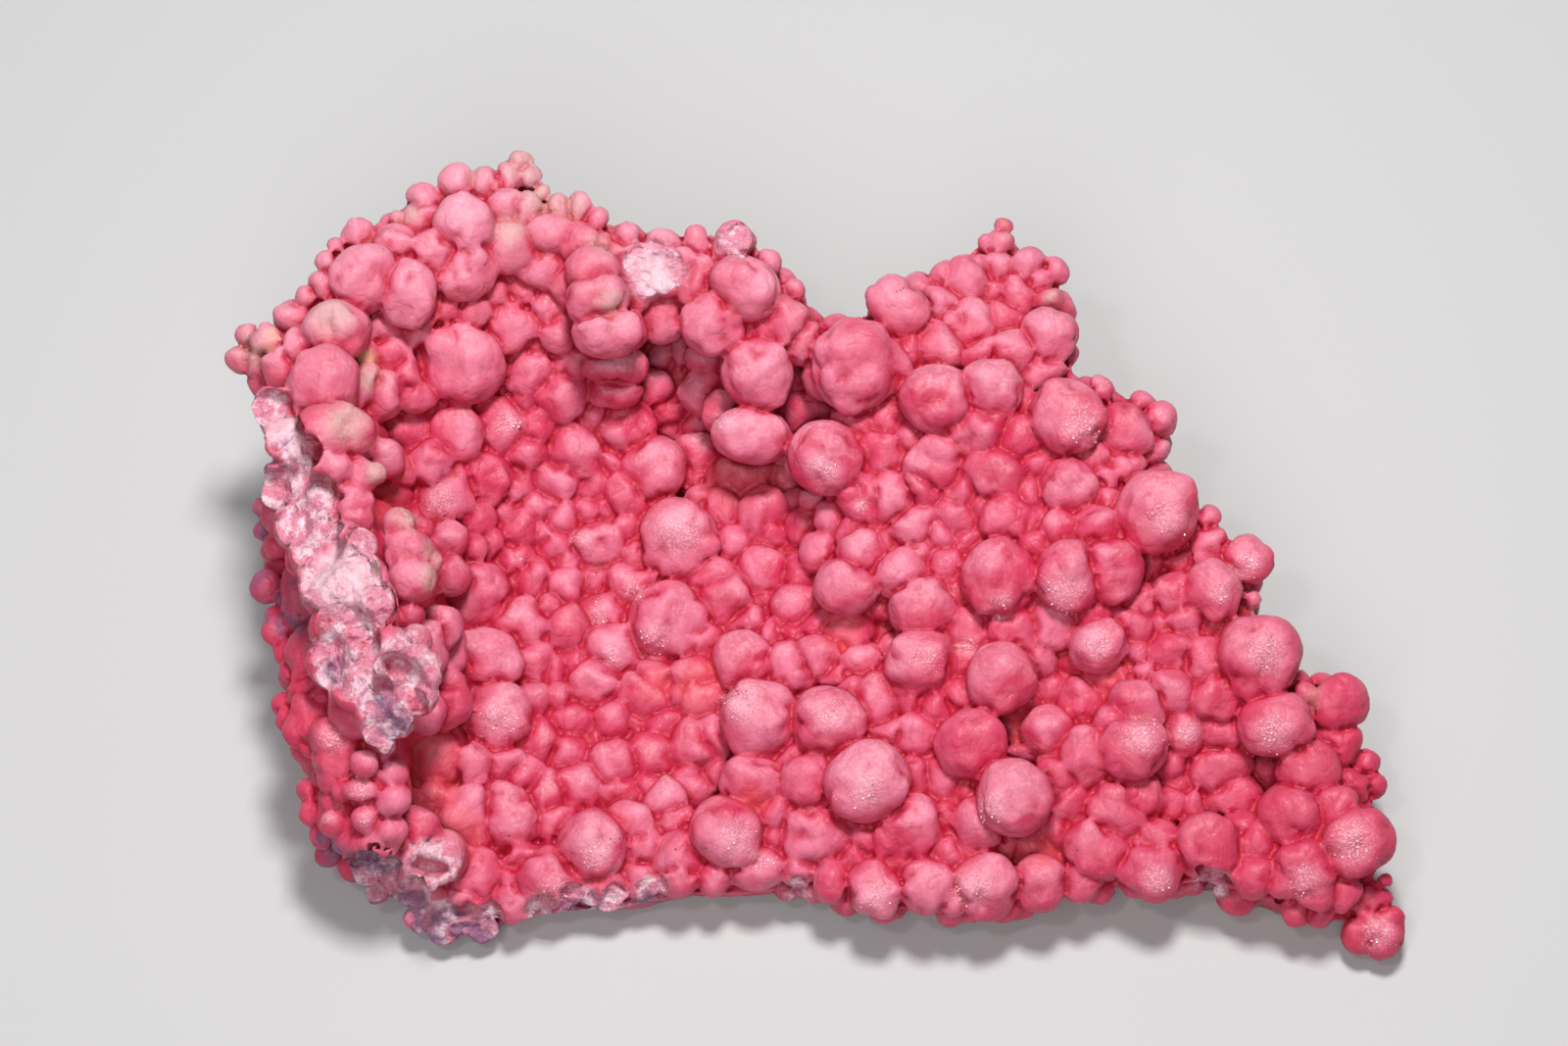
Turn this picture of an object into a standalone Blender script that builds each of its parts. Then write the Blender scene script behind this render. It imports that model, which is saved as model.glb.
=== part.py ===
"""A plate of knobby pink rhodochrosite crust, cut off flat behind and lying on the cut."""

import math
import random

import bmesh
import bpy
from mathutils import Matrix, Vector, noise
from mathutils.geometry import delaunay_2d_cdt

for old in list(bpy.data.objects):
    bpy.data.objects.remove(old)

# Driving dimensions, in millimetres and degrees.
FACE_TILT = 28.0  # the plane that the knobs are measured in, up from the floor
FACE_SLOPE = 0.25  # how fast the crust itself falls away behind that plane
FACE_HEIGHT = 23.5  # the middle of that plane above the floor
SIGHT_DISTANCE = 667.0  # how far off the knobs were measured from
CRUST_BELOW_KNOBS = 2.0  # the body's surface under the middles of the knobs
KNOB_HEIGHT = 0.92  # a knob's height against its half width
LARGE_KNOB_LIFT = 0.3  # how much a knob stands up for each millimetre of radius over 3
FOOT_SHARE = 0.84  # the flat cut's size against the edge of the crust
GRAIN = 1.1  # the fineness that all lumps are fused at
TRIANGLES = 9300

# How far the crust stands towards the viewer: (across, up, depth).
DEPTHS = [
    (-88, 30, 6), (-80, 33, 10), (-74, 34, 12), (-75, 26, 15), (-66, 26, 4), (-66, 32, 4),
    (-70, 42, 10), (-62, 41, 9), (-66, 49, 7), (-58, 54, 5), (-54, 48, 8), (-46, 58, 4),
    (-45, 50, 6), (-37, 50, 5), (-55, 38, 3), (-54, 29, 0), (-46, 35, -1), (-41, 38, 0),
    (-40, 28, -5), (-33, 40, 8), (-32, 34, 7), (-30, 27, -4), (-24, 44, 5), (-24, 36, 0),
    (-23, 31, -15), (-21, 27, -14), (-17, 29, -8), (-18, 41, 4), (-12, 47, 4), (-10, 40, 6),
    (-16, 35, 4), (-4, 37, 3), (-9, 28, 2), (-10, 18, -1), (-20, 20, -17), (-18, 13, -15),
    (-10, 11, -12), (-3, 13, -14), (-2, 23, -10), (-14, 6, -11), (-5, 1, -11), (-8, -8, -9),
    (-62, 18, -4), (-65, 9, -5), (-56, 8, -7), (-47, 20, -7), (-36, 17, -10), (-29, 19, -11),
    (-45, 8, -10), (-35, 8, -12), (-25, 12, -11), (-45, -3, -11), (-52, -7, -9), (-33, -2, -12),
    (-21, 0, -10), (-28, -8, -11), (-22, -11, -9), (-14, -7, -9), (-45, -15, -9), (-33, -16, -10),
    (-11, -17, -5), (-4, -12, -6), (-48, -25, -6), (-36, -26, -8), (-26, -25, -8), (-18, -24, -7),
    (-8, -25, -2), (-9, -35, -2), (-18, -35, -8), (-28, -35, -7), (-38, -36, -6), (-46, -38, -5),
    (-58, -30, -5), (-54, -41, -5), (-60, -38, -4), (-33, -45, -3), (-24, -42, -4), (-14, -43, -1),
    (-41, -51, -3), (-30, -51, -4), (-20, -50, -3), (-9, -49, -3), (-53, -52, -3), (0, -42, -2),
    (-1, -35, 0), (2, -26, 1), (8, -35, 2), (6, -17, -3), (5, -12, -6), (10, -11, -8),
    (6, 29, 4), (13, 37, 2), (1, 14, 2), (10, 18, 0), (8, 8, -1), (5, -4, 0),
    (15, -6, 1), (16, -17, 2), (19, 24, 5), (27, 25, 5), (18, 13, 2), (23, 42, -2),
    (23, 35, -1), (29, 49, -4), (34, 43, -3), (36, 34, 0), (35, 27, -1), (28, 12, 3),
    (21, 5, 1), (28, -4, 4), (39, 21, 5), (39, 10, 3), (48, 19, 1), (53, 19, -1),
    (40, -3, 6), (52, 6, 5), (60, 2, 1), (66, -1, 1), (61, -6, 3), (55, -3, -2),
    (56, -8, 2), (68, -15, 4), (58, -13, -2), (56, -19, 2), (43, -14, 3), (30, -12, 1),
    (22, -11, 0), (28, -19, 4), (36, -22, -3), (41, -19, -3), (49, -28, 4), (62, -23, 1),
    (70, -26, 3), (80, -23, 0), (80, -29, -2), (60, -32, -3), (67, -33, -9), (63, -37, -4),
    (75, -33, 0), (85, -33, -5), (83, -44, 2), (73, -40, 1), (75, -49, 1), (73, -55, -3),
    (86, -57, -6), (24, -29, 3), (31, -27, -3), (15, -28, 1), (30, -37, 5), (20, -38, -1),
    (36, -27, 1), (42, -31, 2), (38, -37, 0), (47, -38, 0), (55, -37, -3), (43, -45, 0),
    (52, -47, 0), (60, -45, 1), (67, -48, 0), (33, -46, -4), (26, -50, 0), (17, -50, 0),
    (9, -51, -1), (2, -50, -2), (15, -42, 0), (35, -50, -1), (40, -51, -2),
    (-83, 22, 13), (-76, 17, 17), (-70, 17, 13), (-74, 9, 17), (-70, 8, 14), (-82, 9, 9),
    (-73, 0, 19), (-70, -5, 24), (-78, 1, 10), (-66, -11, 25), (-64, 3, 8), (-62, -3, 8),
    (-58, -11, -2), (-63, -18, 25), (-68, -19, 22), (-59, -20, 2), (-64, -26, 14), (-69, -27, 14),
    (-82, -4, -5), (-80, -12, 0), (-76, -15, 8), (-79, -20, 5), (-80, -27, 5), (-73, -28, 11),
    (-69, -34, 12), (-76, -34, 4), (-70, -41, 9), (-76, -41, 3), (-65, -41, 8), (-60, -46, 2),
    (-68, -48, -3), (-62, -53, -6), (-52, -57, -7), (-76, -46, -5),
]

# The edge of the solid body, a little inside the knobs along it: (across, up).
BODY_EDGE = [
    (-84, 29), (-80, 34), (-74, 41), (-69, 47), (-61, 52), (-54, 56), (-47, 57), (-42, 52),
    (-36, 51), (-32, 48), (-26, 47), (-17, 47), (-11, 46), (-5, 40), (-1, 34), (6, 33),
    (12, 38), (20, 41), (27, 46), (33, 43), (36, 38), (37, 32), (38, 26), (47, 22),
    (52, 18), (51, 12), (57, 6), (61, 1), (66, -3), (64, -8), (70, -14), (71, -20),
    (80, -22), (81, -29), (83, -36), (84, -45), (84, -55), (77, -54), (68, -50), (60, -48),
    (50, -49), (40, -50), (30, -52), (18, -53), (8, -52), (0, -49), (-10, -50), (-20, -50),
    (-30, -52), (-41, -53), (-50, -55), (-58, -55), (-64, -50), (-71, -46), (-75, -40), (-75, -33),
    (-79, -26), (-79, -18), (-80, -10), (-81, -3), (-82, 5), (-80, 12), (-79, 20), (-82, 25),
]

# Knobs: (across, up, radius, lift), the lift being on top of the crust's own depth there.
TOP_LEFT = [
    (-88.0, 29.8, 2.5, 0), (-85.5, 29.6, 2.6, 1), (-82.5, 29.5, 3.0, 2), (-86.5, 33.2, 2.4, 0),
    (-84.0, 32.6, 3.0, 1), (-80.8, 36.4, 2.2, -3), (-75.3, 26.8, 5.0, 1), (-79.5, 31.5, 3.0, 2),
    (-74.4, 44.4, 2.2, -1), (-75.3, 41.2, 2.5, 0), (-78.0, 39.5, 1.8, -2), (-69.6, 42.5, 5.5, 1),
    (-69.9, 48.6, 3.0, 0), (-64.8, 47.3, 3.5, 1), (-64.0, 51.3, 1.4, -1), (-73.1, 47.0, 1.6, -1),
    (-60.0, 54.0, 2.8, -1), (-60.4, 51.5, 3.3, 0), (-54.5, 56.6, 3.2, 0), (-53.9, 50.2, 4.5, 2),
    (-53.5, 43.1, 4.2, 2), (-58.0, 46.3, 3.2, 1), (-50.3, 56.6, 3.0, 0), (-55.8, 38.7, 3.0, 0),
    (-52.3, 37.7, 2.6, 0), (-65.1, 30.6, 2.6, 0), (-65.7, 24.5, 3.0, 0), (-60.2, 33.6, 2.4, -1),
]
TOP_MIDDLE = [
    (-45.0, 59.8, 2.1, 0), (-43.9, 57.5, 2.4, 0), (-46.8, 57.2, 2.8, 0), (-42.0, 55.0, 1.8, 0),
    (-47.1, 53.4, 3.2, 1), (-44.0, 53.0, 3.0, 1), (-39.5, 52.8, 2.4, 0), (-36.0, 53.0, 2.4, 0),
    (-33.5, 51.3, 2.0, 0), (-40.7, 49.2, 3.5, 1), (-35.6, 47.6, 3.0, 1), (-46.8, 47.0, 3.5, 0),
    (-41.3, 37.4, 2.8, 0), (-45.0, 40.5, 2.8, 0), (-37.5, 41.0, 2.5, 0), (-32.7, 47.0, 1.8, 1),
    (-34.0, 43.1, 3.6, 1), (-33.3, 39.0, 4.4, 2), (-28.2, 34.5, 1.8, 2), (-43.1, 27.8, 3.7, 0),
    (-38.8, 24.2, 3.7, 0), (-37.2, 29.7, 3.0, 0), (-42.3, 31.4, 2.0, 0), (-47.1, 21.7, 2.2, 0),
    (-28.8, 48.6, 2.2, 0), (-26.5, 44.5, 3.2, 0), (-22.8, 43.5, 3.2, 0), (-26.2, 41.5, 2.2, 0),
    (-27.6, 39.9, 2.0, 0), (-23.4, 35.8, 3.2, 0), (-18.3, 48.3, 2.0, 0), (-12.2, 47.6, 3.5, 0),
    (-10.3, 40.6, 5.4, 1), (-7.4, 44.4, 2.4, 1), (-3.2, 40.3, 1.8, 0), (-15.7, 35.1, 4.8, 2),
    (-21.6, 36.1, 1.5, 1), (-20.8, 27.4, 2.1, 0), (-17.0, 29.7, 2.5, 0), (-8.7, 27.8, 5.6, 2),
    (-4.5, 35.4, 4.0, 1), (-2.6, 32.2, 2.5, 0), (-14.0, 21.5, 2.8, 1), (-23.1, 21.7, 3.0, 0),
]
TOP_RIGHT = [
    (-1.6, 32.6, 3.4, 0), (1.3, 27.1, 3.0, 1), (11.2, 29.0, 3.0, 1), (22.8, 41.9, 3.6, 0),
    (19.6, 42.5, 2.0, 0), (25.0, 43.5, 2.0, 0), (23.1, 34.8, 3.8, 0), (18.9, 31.3, 3.8, 0),
    (28.9, 49.9, 1.7, 0), (28.5, 47.6, 2.3, 0), (26.3, 47.6, 1.5, 0), (28.5, 43.8, 2.6, 0),
    (32.7, 43.8, 3.2, 0), (36.6, 43.1, 2.5, 0), (34.6, 41.9, 2.8, 0), (35.9, 39.0, 2.4, 0),
    (31.0, 39.5, 2.8, 0), (28.9, 36.1, 2.3, 0), (27.7, 39.9, 1.3, 1), (36.2, 33.5, 4.2, 1),
    (30.1, 30.3, 3.0, 0), (18.6, 23.6, 5.3, 1), (27.0, 25.0, 4.6, 1), (25.0, 19.0, 4.0, 1),
    (11.0, 20.5, 2.8, 0), (38.7, 21.2, 6.0, 2), (47.5, 19.0, 4.6, 1), (52.5, 20.5, 3.2, 0),
    (52.0, 16.0, 2.4, 0), (47.0, 13.0, 3.0, -1), (43.5, 25.0, 2.4, -1), (50.0, 23.0, 2.2, 0),
]
BOWL = [
    (-62.5, 18.5, 4.0, 0), (-59.3, 14.0, 3.3, 0), (-55.0, 18.3, 3.7, 0), (-48.3, 19.5, 4.4, 0),
    (-43.0, 19.5, 2.9, 0), (-60.8, 20.8, 2.2, 0), (-66.0, 14.5, 2.6, 0), (-64.0, 12.5, 2.6, 0),
    (-65.0, 9.0, 3.2, 0), (-57.0, 8.3, 5.3, 1), (-50.5, 11.3, 3.7, 0), (-45.8, 10.8, 3.3, 0),
    (-40.0, 11.5, 3.7, 0), (-34.0, 10.5, 3.2, 0), (-51.5, 5.0, 2.4, 0), (-47.5, 5.5, 2.4, 0),
    (-45.3, 3.6, 3.2, 0), (-56.0, 2.2, 2.4, 0), (-52.3, 1.0, 1.9, 0), (-43.5, -4.0, 3.6, 0),
    (-52.0, -6.2, 5.5, 1), (-56.0, -3.5, 2.6, 0), (-45.0, -11.2, 4.0, 0), (-49.8, -17.0, 4.9, 1),
    (-43.8, -17.3, 3.8, 0), (-57.0, -19.5, 2.5, 0), (-37.0, 15.5, 4.6, 0), (-29.0, 19.0, 4.7, 0),
    (-34.0, 21.5, 3.0, -1), (-22.5, 20.0, 2.3, 0), (-25.0, 13.0, 5.3, 1), (-29.0, 9.3, 3.5, 1),
    (-32.5, 7.0, 2.5, 0), (-18.0, 15.0, 3.0, 0), (-14.3, 11.3, 2.1, 1), (-14.0, 7.0, 3.2, 0),
    (-17.5, 8.0, 2.2, 0), (-8.0, 6.0, 4.0, 1), (-6.5, 3.0, 3.0, 0), (-3.5, 7.5, 2.1, -1),
    (-20.7, 2.5, 6.3, 4), (-39.0, 5.2, 2.7, 0), (-34.5, 6.3, 2.7, 0), (-42.0, 3.0, 2.0, 0),
    (-30.0, 2.5, 2.5, 0), (-38.5, -5.0, 2.9, 0), (-40.0, 1.0, 2.4, 0), (-38.3, -1.5, 2.0, 0),
    (-33.5, -4.5, 2.5, 0), (-28.0, -5.0, 3.3, 1), (-13.0, 1.0, 2.8, 0), (-7.5, -3.0, 3.6, 1),
    (-7.5, -7.0, 2.1, 0), (-3.0, -8.0, 3.3, 0), (-22.5, -10.8, 6.6, 2), (-18.0, -13.7, 3.0, 1),
    (-14.0, -7.0, 4.4, 1), (-15.2, -4.0, 3.0, 1), (-10.5, -11.0, 3.0, 0), (-31.0, -15.0, 4.3, 1),
    (-36.0, -18.0, 3.0, 0), (-40.0, -18.5, 2.2, 0), (-11.0, -16.5, 4.4, 1), (-7.0, -13.0, 2.1, 0),
    (-4.0, -17.5, 4.0, 0), (-3.0, -13.0, 2.0, 0), (-19.0, -19.0, 3.6, -1), (-24.0, -19.2, 3.0, -1),
    (-48.8, -24.7, 6.1, 2), (-43.5, -22.0, 3.0, 0), (-39.5, -22.0, 2.6, 0), (-34.0, -19.8, 4.4, 1),
    (-37.5, -26.0, 3.3, 0), (-41.5, -28.8, 3.1, 0), (-38.0, -30.3, 3.3, 0), (-31.0, -26.0, 3.0, 0),
    (-25.5, -22.0, 3.7, 0), (-18.0, -22.0, 3.5, 0), (-21.0, -21.5, 2.5, 0), (-23.5, -26.3, 2.9, 0),
    (-8.5, -25.5, 6.3, 3), (-18.5, -29.5, 3.9, 0), (-15.8, -28.3, 3.0, 0), (-25.0, -30.5, 3.6, 0),
    (-30.8, -32.5, 3.8, 0), (-30.3, -36.5, 3.2, 0), (-36.3, -35.5, 3.4, 0), (-41.2, -37.0, 3.3, 0),
    (-44.5, -34.3, 2.6, 0), (-40.2, -40.8, 2.9, 0), (-25.7, -36.0, 2.3, 0), (-23.3, -38.0, 3.1, 0),
    (-19.0, -35.5, 3.1, 0), (-34.2, -45.0, 5.6, 2), (-28.6, -41.8, 3.5, 1), (-26.8, -45.0, 3.2, 0),
    (-27.0, -49.2, 2.6, 0), (-21.0, -46.5, 3.9, 0), (-21.0, -49.5, 3.3, 0), (-22.0, -41.0, 2.6, 0),
    (-41.0, -50.0, 5.2, 1), (-46.5, -50.6, 2.6, 0), (-46.3, -53.3, 3.6, 0), (-32.0, -51.5, 3.2, 0),
    (-15.5, -50.3, 2.5, 0), (-53.5, -40.5, 4.9, 1), (-58.5, -30.5, 6.2, 0), (-53.0, -31.5, 3.3, 1),
    (-56.5, -23.0, 3.2, 0), (-60.0, -24.0, 3.0, 0), (-61.5, -38.0, 2.3, 0), (-58.5, -36.5, 3.0, 0),
    (-52.3, -49.8, 3.9, 0), (-53.5, -53.0, 3.3, 0), (-45.0, -46.0, 3.0, 0),
]
PLATEAU = [
    (1.5, 14.5, 5.9, 2), (10.2, 15.5, 3.4, 0), (7.5, 8.5, 3.8, 1), (11.5, 8.3, 4.2, 1),
    (14.7, 4.2, 3.3, 1), (2.5, 5.5, 2.4, 0), (18.3, 13.5, 4.3, 0), (16.0, 10.0, 3.0, 0),
    (21.6, 5.5, 2.9, 0), (29.3, 5.5, 3.7, 0), (33.0, 5.0, 2.5, -1), (45.0, 12.0, 2.5, -1),
    (28.0, -3.5, 6.2, 2), (20.0, -1.5, 2.6, 0), (23.0, 1.5, 2.0, -1), (0.8, 0.0, 2.9, 1),
    (7.5, 0.0, 3.6, 0), (11.0, 1.5, 2.5, 0), (13.5, -3.2, 3.8, 0), (16.3, -8.3, 4.8, 2),
    (5.0, -12.0, 4.0, 0), (10.0, -12.0, 2.2, 0), (0.3, -16.0, 3.5, 1), (6.5, -16.0, 3.0, 0),
    (16.0, -16.5, 5.3, 1), (12.0, -14.5, 2.0, 0), (23.0, -11.5, 3.6, 0), (30.5, -12.0, 3.7, 0),
    (36.3, -11.0, 3.6, 0), (39.0, -16.2, 2.6, 0), (48.5, -10.8, 3.2, 0), (49.5, -8.0, 2.8, 0),
    (39.0, -3.2, 5.6, 1), (45.0, -2.5, 5.4, 1), (43.5, 3.5, 3.6, 0), (52.5, 6.5, 7.0, 2),
    (59.7, 5.2, 2.6, 0), (60.3, 2.0, 3.0, 0), (60.3, -1.5, 2.6, 0), (66.0, -1.0, 4.1, 0),
    (61.0, -5.3, 4.4, 1), (55.3, -6.5, 3.5, 0), (56.5, -9.8, 3.2, 0), (67.0, -7.0, 1.5, -1),
    (53.5, -4.0, 2.0, -1), (28.5, -19.0, 5.3, 1), (36.0, -21.0, 2.7, 1), (31.0, -27.0, 2.7, 0),
    (35.6, -27.3, 3.8, 0), (30.3, -37.3, 6.3, 2), (25.2, -41.0, 3.8, 1), (36.5, -35.0, 4.0, 0),
    (39.0, -37.8, 3.5, 0), (23.8, -29.3, 5.5, 1), (19.5, -34.3, 3.2, 0), (15.5, -27.8, 3.3, 0),
    (14.5, -21.8, 3.0, -1), (21.8, -22.0, 2.6, -1), (9.2, -22.8, 3.9, 1), (5.6, -21.5, 2.6, 1),
    (2.0, -26.0, 6.1, 1), (8.0, -34.8, 6.8, 3), (14.3, -33.8, 2.8, 0), (-0.8, -34.8, 4.2, 0),
    (15.0, -41.8, 4.9, 1), (11.5, -44.0, 2.7, 1), (7.5, -44.0, 2.2, 0), (20.3, -40.5, 3.0, 0),
    (23.5, -44.5, 2.5, 0), (17.0, -51.0, 4.4, 0), (21.0, -53.3, 2.2, 0), (26.0, -50.8, 5.4, 0),
    (33.5, -46.0, 3.8, 0), (34.3, -50.5, 4.4, 0), (40.0, -50.3, 3.6, 0), (9.0, -51.4, 4.7, 0),
    (2.5, -50.6, 3.3, 0), (-2.5, -49.0, 2.3, 0),
]
RIGHT = [
    (68.0, -15.5, 6.8, 1), (54.3, -15.5, 3.7, 0), (59.5, -17.0, 4.2, 0), (54.5, -20.5, 3.6, 0),
    (61.0, -21.5, 4.1, 0), (80.2, -22.5, 4.5, 0), (80.5, -28.7, 3.4, 0), (75.5, -22.0, 2.0, 0),
    (75.5, -33.3, 4.4, 0), (84.2, -32.0, 2.6, 0), (85.2, -35.2, 2.3, 0), (82.5, -35.5, 3.0, 0),
    (82.8, -44.0, 6.2, 1), (80.0, -40.0, 4.0, 1), (73.0, -40.3, 4.9, 0), (48.5, -29.5, 5.4, 1),
    (49.0, -23.5, 4.0, 0), (46.0, -26.0, 3.0, 0), (56.0, -27.3, 3.2, 0), (61.5, -27.3, 2.9, 0),
    (45.5, -19.0, 3.8, 0), (42.0, -31.0, 4.5, 0), (46.3, -39.3, 4.6, 1), (49.5, -37.3, 3.4, 1),
    (54.0, -38.3, 3.0, 0), (55.0, -35.5, 2.2, -1), (52.0, -44.5, 3.2, 0), (51.5, -48.4, 4.8, 0),
    (60.0, -45.0, 5.2, 0), (64.0, -42.5, 2.5, 0), (66.5, -44.7, 3.0, 0), (67.0, -49.3, 3.5, 0),
    (75.0, -48.2, 4.8, 1), (72.0, -50.0, 3.0, 1), (76.3, -51.5, 3.2, 1), (73.5, -54.4, 2.8, -1),
    (77.0, -55.2, 2.2, -1), (86.0, -57.2, 4.6, 0), (85.0, -53.0, 3.4, 0), (87.0, -50.0, 1.4, 0),
    (83.5, -58.0, 3.3, 0),
]

# Oval knobs: (across, up, half length, half width, turn, lift).
OVALS = [
    (-73.7, 34.2, 5.5, 4.8, 0, 1), (-68.4, 25.5, 3.8, 2.0, 90, 2), (-62.5, 39.9, 5.5, 4.2, 90, 1),
    (-54.2, 29.0, 7.5, 6.2, -20, 2), (-46.5, 34.8, 4.6, 3.6, 0, 0), (-42.0, 43.8, 3.4, 3.0, 0, 1),
    (-32.0, 34.2, 5.6, 4.0, 0, 2), (-30.4, 28.7, 4.8, 3.0, 0, 1), (-30.8, 24.6, 4.2, 2.1, 0, 0),
    (-23.4, 47.6, 3.0, 2.3, 0, 0), (-18.5, 41.3, 4.0, 1.6, 90, 0), (-17.0, 24.9, 3.8, 2.7, 90, 1),
    (5.8, 29.0, 7.6, 7.2, 90, 2), (12.5, 37.4, 5.4, 4.6, -35, 1), (34.9, 27.1, 4.6, 2.6, 0, 0),
    (-45.8, -1.0, 3.6, 3.0, 0, 1), (-11.0, 11.3, 5.0, 3.0, 0, 0), (-10.0, 18.0, 6.6, 4.1, -8, 3),
    (-33.0, 1.6, 4.5, 3.4, 0, 1), (-32.0, -9.2, 3.5, 2.8, 0, 0), (-38.0, -12.0, 3.6, 2.9, 90, 0),
    (-9.7, -35.0, 4.8, 3.9, 0, 1), (-13.7, -42.5, 6.1, 5.2, -20, 2), (-46.8, -40.2, 6.2, 4.6, 112, 1),
    (-9.0, -48.2, 4.6, 3.4, 12, 0), (27.5, 12.0, 4.4, 3.8, 0, 0), (38.8, 10.0, 5.3, 3.8, -8, 0),
    (4.8, -5.0, 4.7, 3.9, -12, 1), (43.5, -14.0, 4.4, 3.8, 15, 1), (0.0, -43.0, 5.6, 4.6, -15, 0),
    (70.5, -26.0, 6.0, 4.7, 10, 1), (61.0, -32.5, 4.9, 3.6, 0, 0), (63.5, -37.5, 5.0, 3.0, 5, 0),
    (43.0, -45.0, 5.2, 4.6, -35, 0),
]

# Knobs of the wall along the left, which curls up and over the bowl: (across, up, radius, depth).
WALL = [
    (-83.0, 22.5, 3.3, 15), (-80.0, 18.5, 3.0, 16), (-76.0, 18.0, 5.0, 18), (-72.0, 19.0, 4.5, 17),
    (-69.8, 18.5, 3.0, 15), (-74.5, 13.5, 3.5, 18), (-70.0, 11.8, 3.0, 16), (-67.6, 12.3, 1.9, 17),
    (-71.0, 8.0, 3.4, 16), (-70.5, 5.5, 2.8, 16), (-82.9, 12.5, 1.8, 10), (-79.5, 11.3, 2.4, 13),
    (-82.3, 9.0, 2.5, 12), (-77.0, 8.3, 3.3, 19), (-80.0, 4.0, 2.0, 14), (-77.0, 3.0, 3.0, 18),
    (-72.5, 2.5, 3.0, 21), (-69.8, 1.5, 2.8, 21), (-78.5, -1.0, 2.8, 13), (-74.5, -3.5, 4.2, 23),
    (-70.0, -4.0, 4.5, 25), (-67.5, -8.0, 3.5, 27), (-71.5, -10.5, 4.0, 22), (-64.0, 4.5, 2.8, 18),
    (-60.2, 4.0, 2.0, 16), (-62.5, 0.5, 4.0, 18), (-58.8, -1.2, 1.9, 17), (-62.0, -3.7, 4.0, 18),
    (-62.5, -9.3, 2.7, 16), (-57.5, -11.3, 3.9, 8), (-61.2, -13.0, 2.5, 22), (-66.5, -13.5, 3.2, 26),
    (-70.0, -16.0, 4.2, 22), (-60.5, -22.0, 2.6, 24), (-64.5, -23.8, 3.0, 24), (-67.3, -27.2, 2.3, 20),
    (-63.5, -26.0, 2.0, 20), (-66.0, -29.0, 1.6, 18),
]
# Knobs of the wall's outer side, down to the lower left corner.
WALL_OUTSIDE = [
    (-84.6, 7.0, 1.6, -2), (-84.4, 3.5, 1.7, -2), (-83.0, 0.5, 2.0, -1), (-84.0, -5.0, 2.7, 0),
    (-80.7, -7.3, 2.0, 1), (-79.0, -9.0, 2.0, 3), (-77.4, -9.2, 1.8, 4), (-82.3, -12.0, 2.6, 2),
    (-82.5, -9.8, 1.9, 1), (-81.0, -15.0, 2.2, 3), (-75.5, -13.5, 1.8, 9), (-80.0, -17.5, 2.3, 5),
    (-77.0, -18.0, 2.1, 7), (-75.2, -19.5, 2.1, 9), (-81.4, -23.0, 2.1, 5), (-80.8, -25.3, 2.0, 6),
    (-78.5, -22.0, 2.6, 7), (-76.0, -22.5, 2.4, 9), (-72.8, -23.5, 2.4, 12), (-79.0, -27.0, 2.9, 8),
    (-74.3, -28.0, 3.6, 12), (-77.0, -29.5, 2.0, 8), (-69.2, -32.0, 2.5, 15), (-73.7, -32.3, 1.9, 12),
    (-72.5, -36.0, 1.9, 12), (-70.5, -36.0, 2.0, 13), (-68.6, -36.0, 1.9, 13), (-77.7, -36.0, 2.0, 5),
    (-77.2, -39.5, 2.2, 5), (-74.0, -41.0, 2.2, 9), (-69.0, -40.5, 2.4, 11), (-65.3, -33.5, 3.0, 12),
    (-64.8, -37.5, 3.0, 12), (-65.0, -42.0, 2.6, 10), (-75.3, -34.0, 2.0, 7), (-75.5, -43.0, 2.2, 3),
    (-71.5, -43.5, 2.8, 5), (-66.0, -45.5, 2.6, 4), (-68.5, -48.5, 2.6, -2), (-67.0, -51.5, 2.2, -4),
    (-62.5, -51.5, 2.4, -3), (-61.0, -56.0, 2.2, -5), (-57.0, -57.3, 2.6, -6), (-51.0, -57.2, 2.6, -6),
    (-54.3, -56.5, 2.0, -5), (-74.5, -45.5, 2.4, -2), (-80.8, 5.5, 4.0, -3), (-80.0, 0.5, 4.0, -3),
    (-80.0, -5.0, 3.8, -3), (-79.0, -11.0, 3.8, -1),
]
# Knobs that are broken open, as rings: (across, up, half length, half width, turn, depth, lip).
BROKEN_RINGS = [
    (-63.5, -18.0, 5.2, 3.6, -35, 26, 1.7),
    (-59.2, -47.6, 3.9, 2.4, -8, 4, 1.5),
]


def crust_depth(across, up):
    """How far the crust stands towards the viewer at this point, blended from the nearest of DEPTHS."""
    total = 0.0
    weights = 0.0
    for near_across, near_up, depth in DEPTHS:
        gap = (across - near_across) ** 2 + (up - near_up) ** 2
        weight = 1.0 / (gap + 6.0) ** 2
        total += weight * depth
        weights += weight
    return total / weights


def raised(lift, radius):
    """How far the middle of a knob stands out from the crust's own depth."""
    return 0.7 * lift + LARGE_KNOB_LIFT * (radius - 3.0)


def shrink(depth, up):
    """What a length seen at this depth measures, nearer things having looked larger."""
    return 1.0 - (depth - FACE_SLOPE * up) / SIGHT_DISTANCE


def place(across, up, depth):
    """The point in metres, with the floor at zero, of one given in the measuring plane."""
    scale = shrink(depth, up)
    forward = depth - FACE_SLOPE * up
    tilt = math.radians(FACE_TILT)
    y = up * scale * math.cos(tilt) - forward * math.sin(tilt)
    z = up * scale * math.sin(tilt) + forward * math.cos(tilt) + FACE_HEIGHT
    return Vector((across * scale, y, z)) / 1000


ball = bpy.data.meshes.new("ball")
ball_bm = bmesh.new()
bmesh.ops.create_icosphere(ball_bm, subdivisions=3, radius=1.0)
ball_bm.to_mesh(ball)
ball_bm.free()
lumps = bmesh.new()


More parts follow.
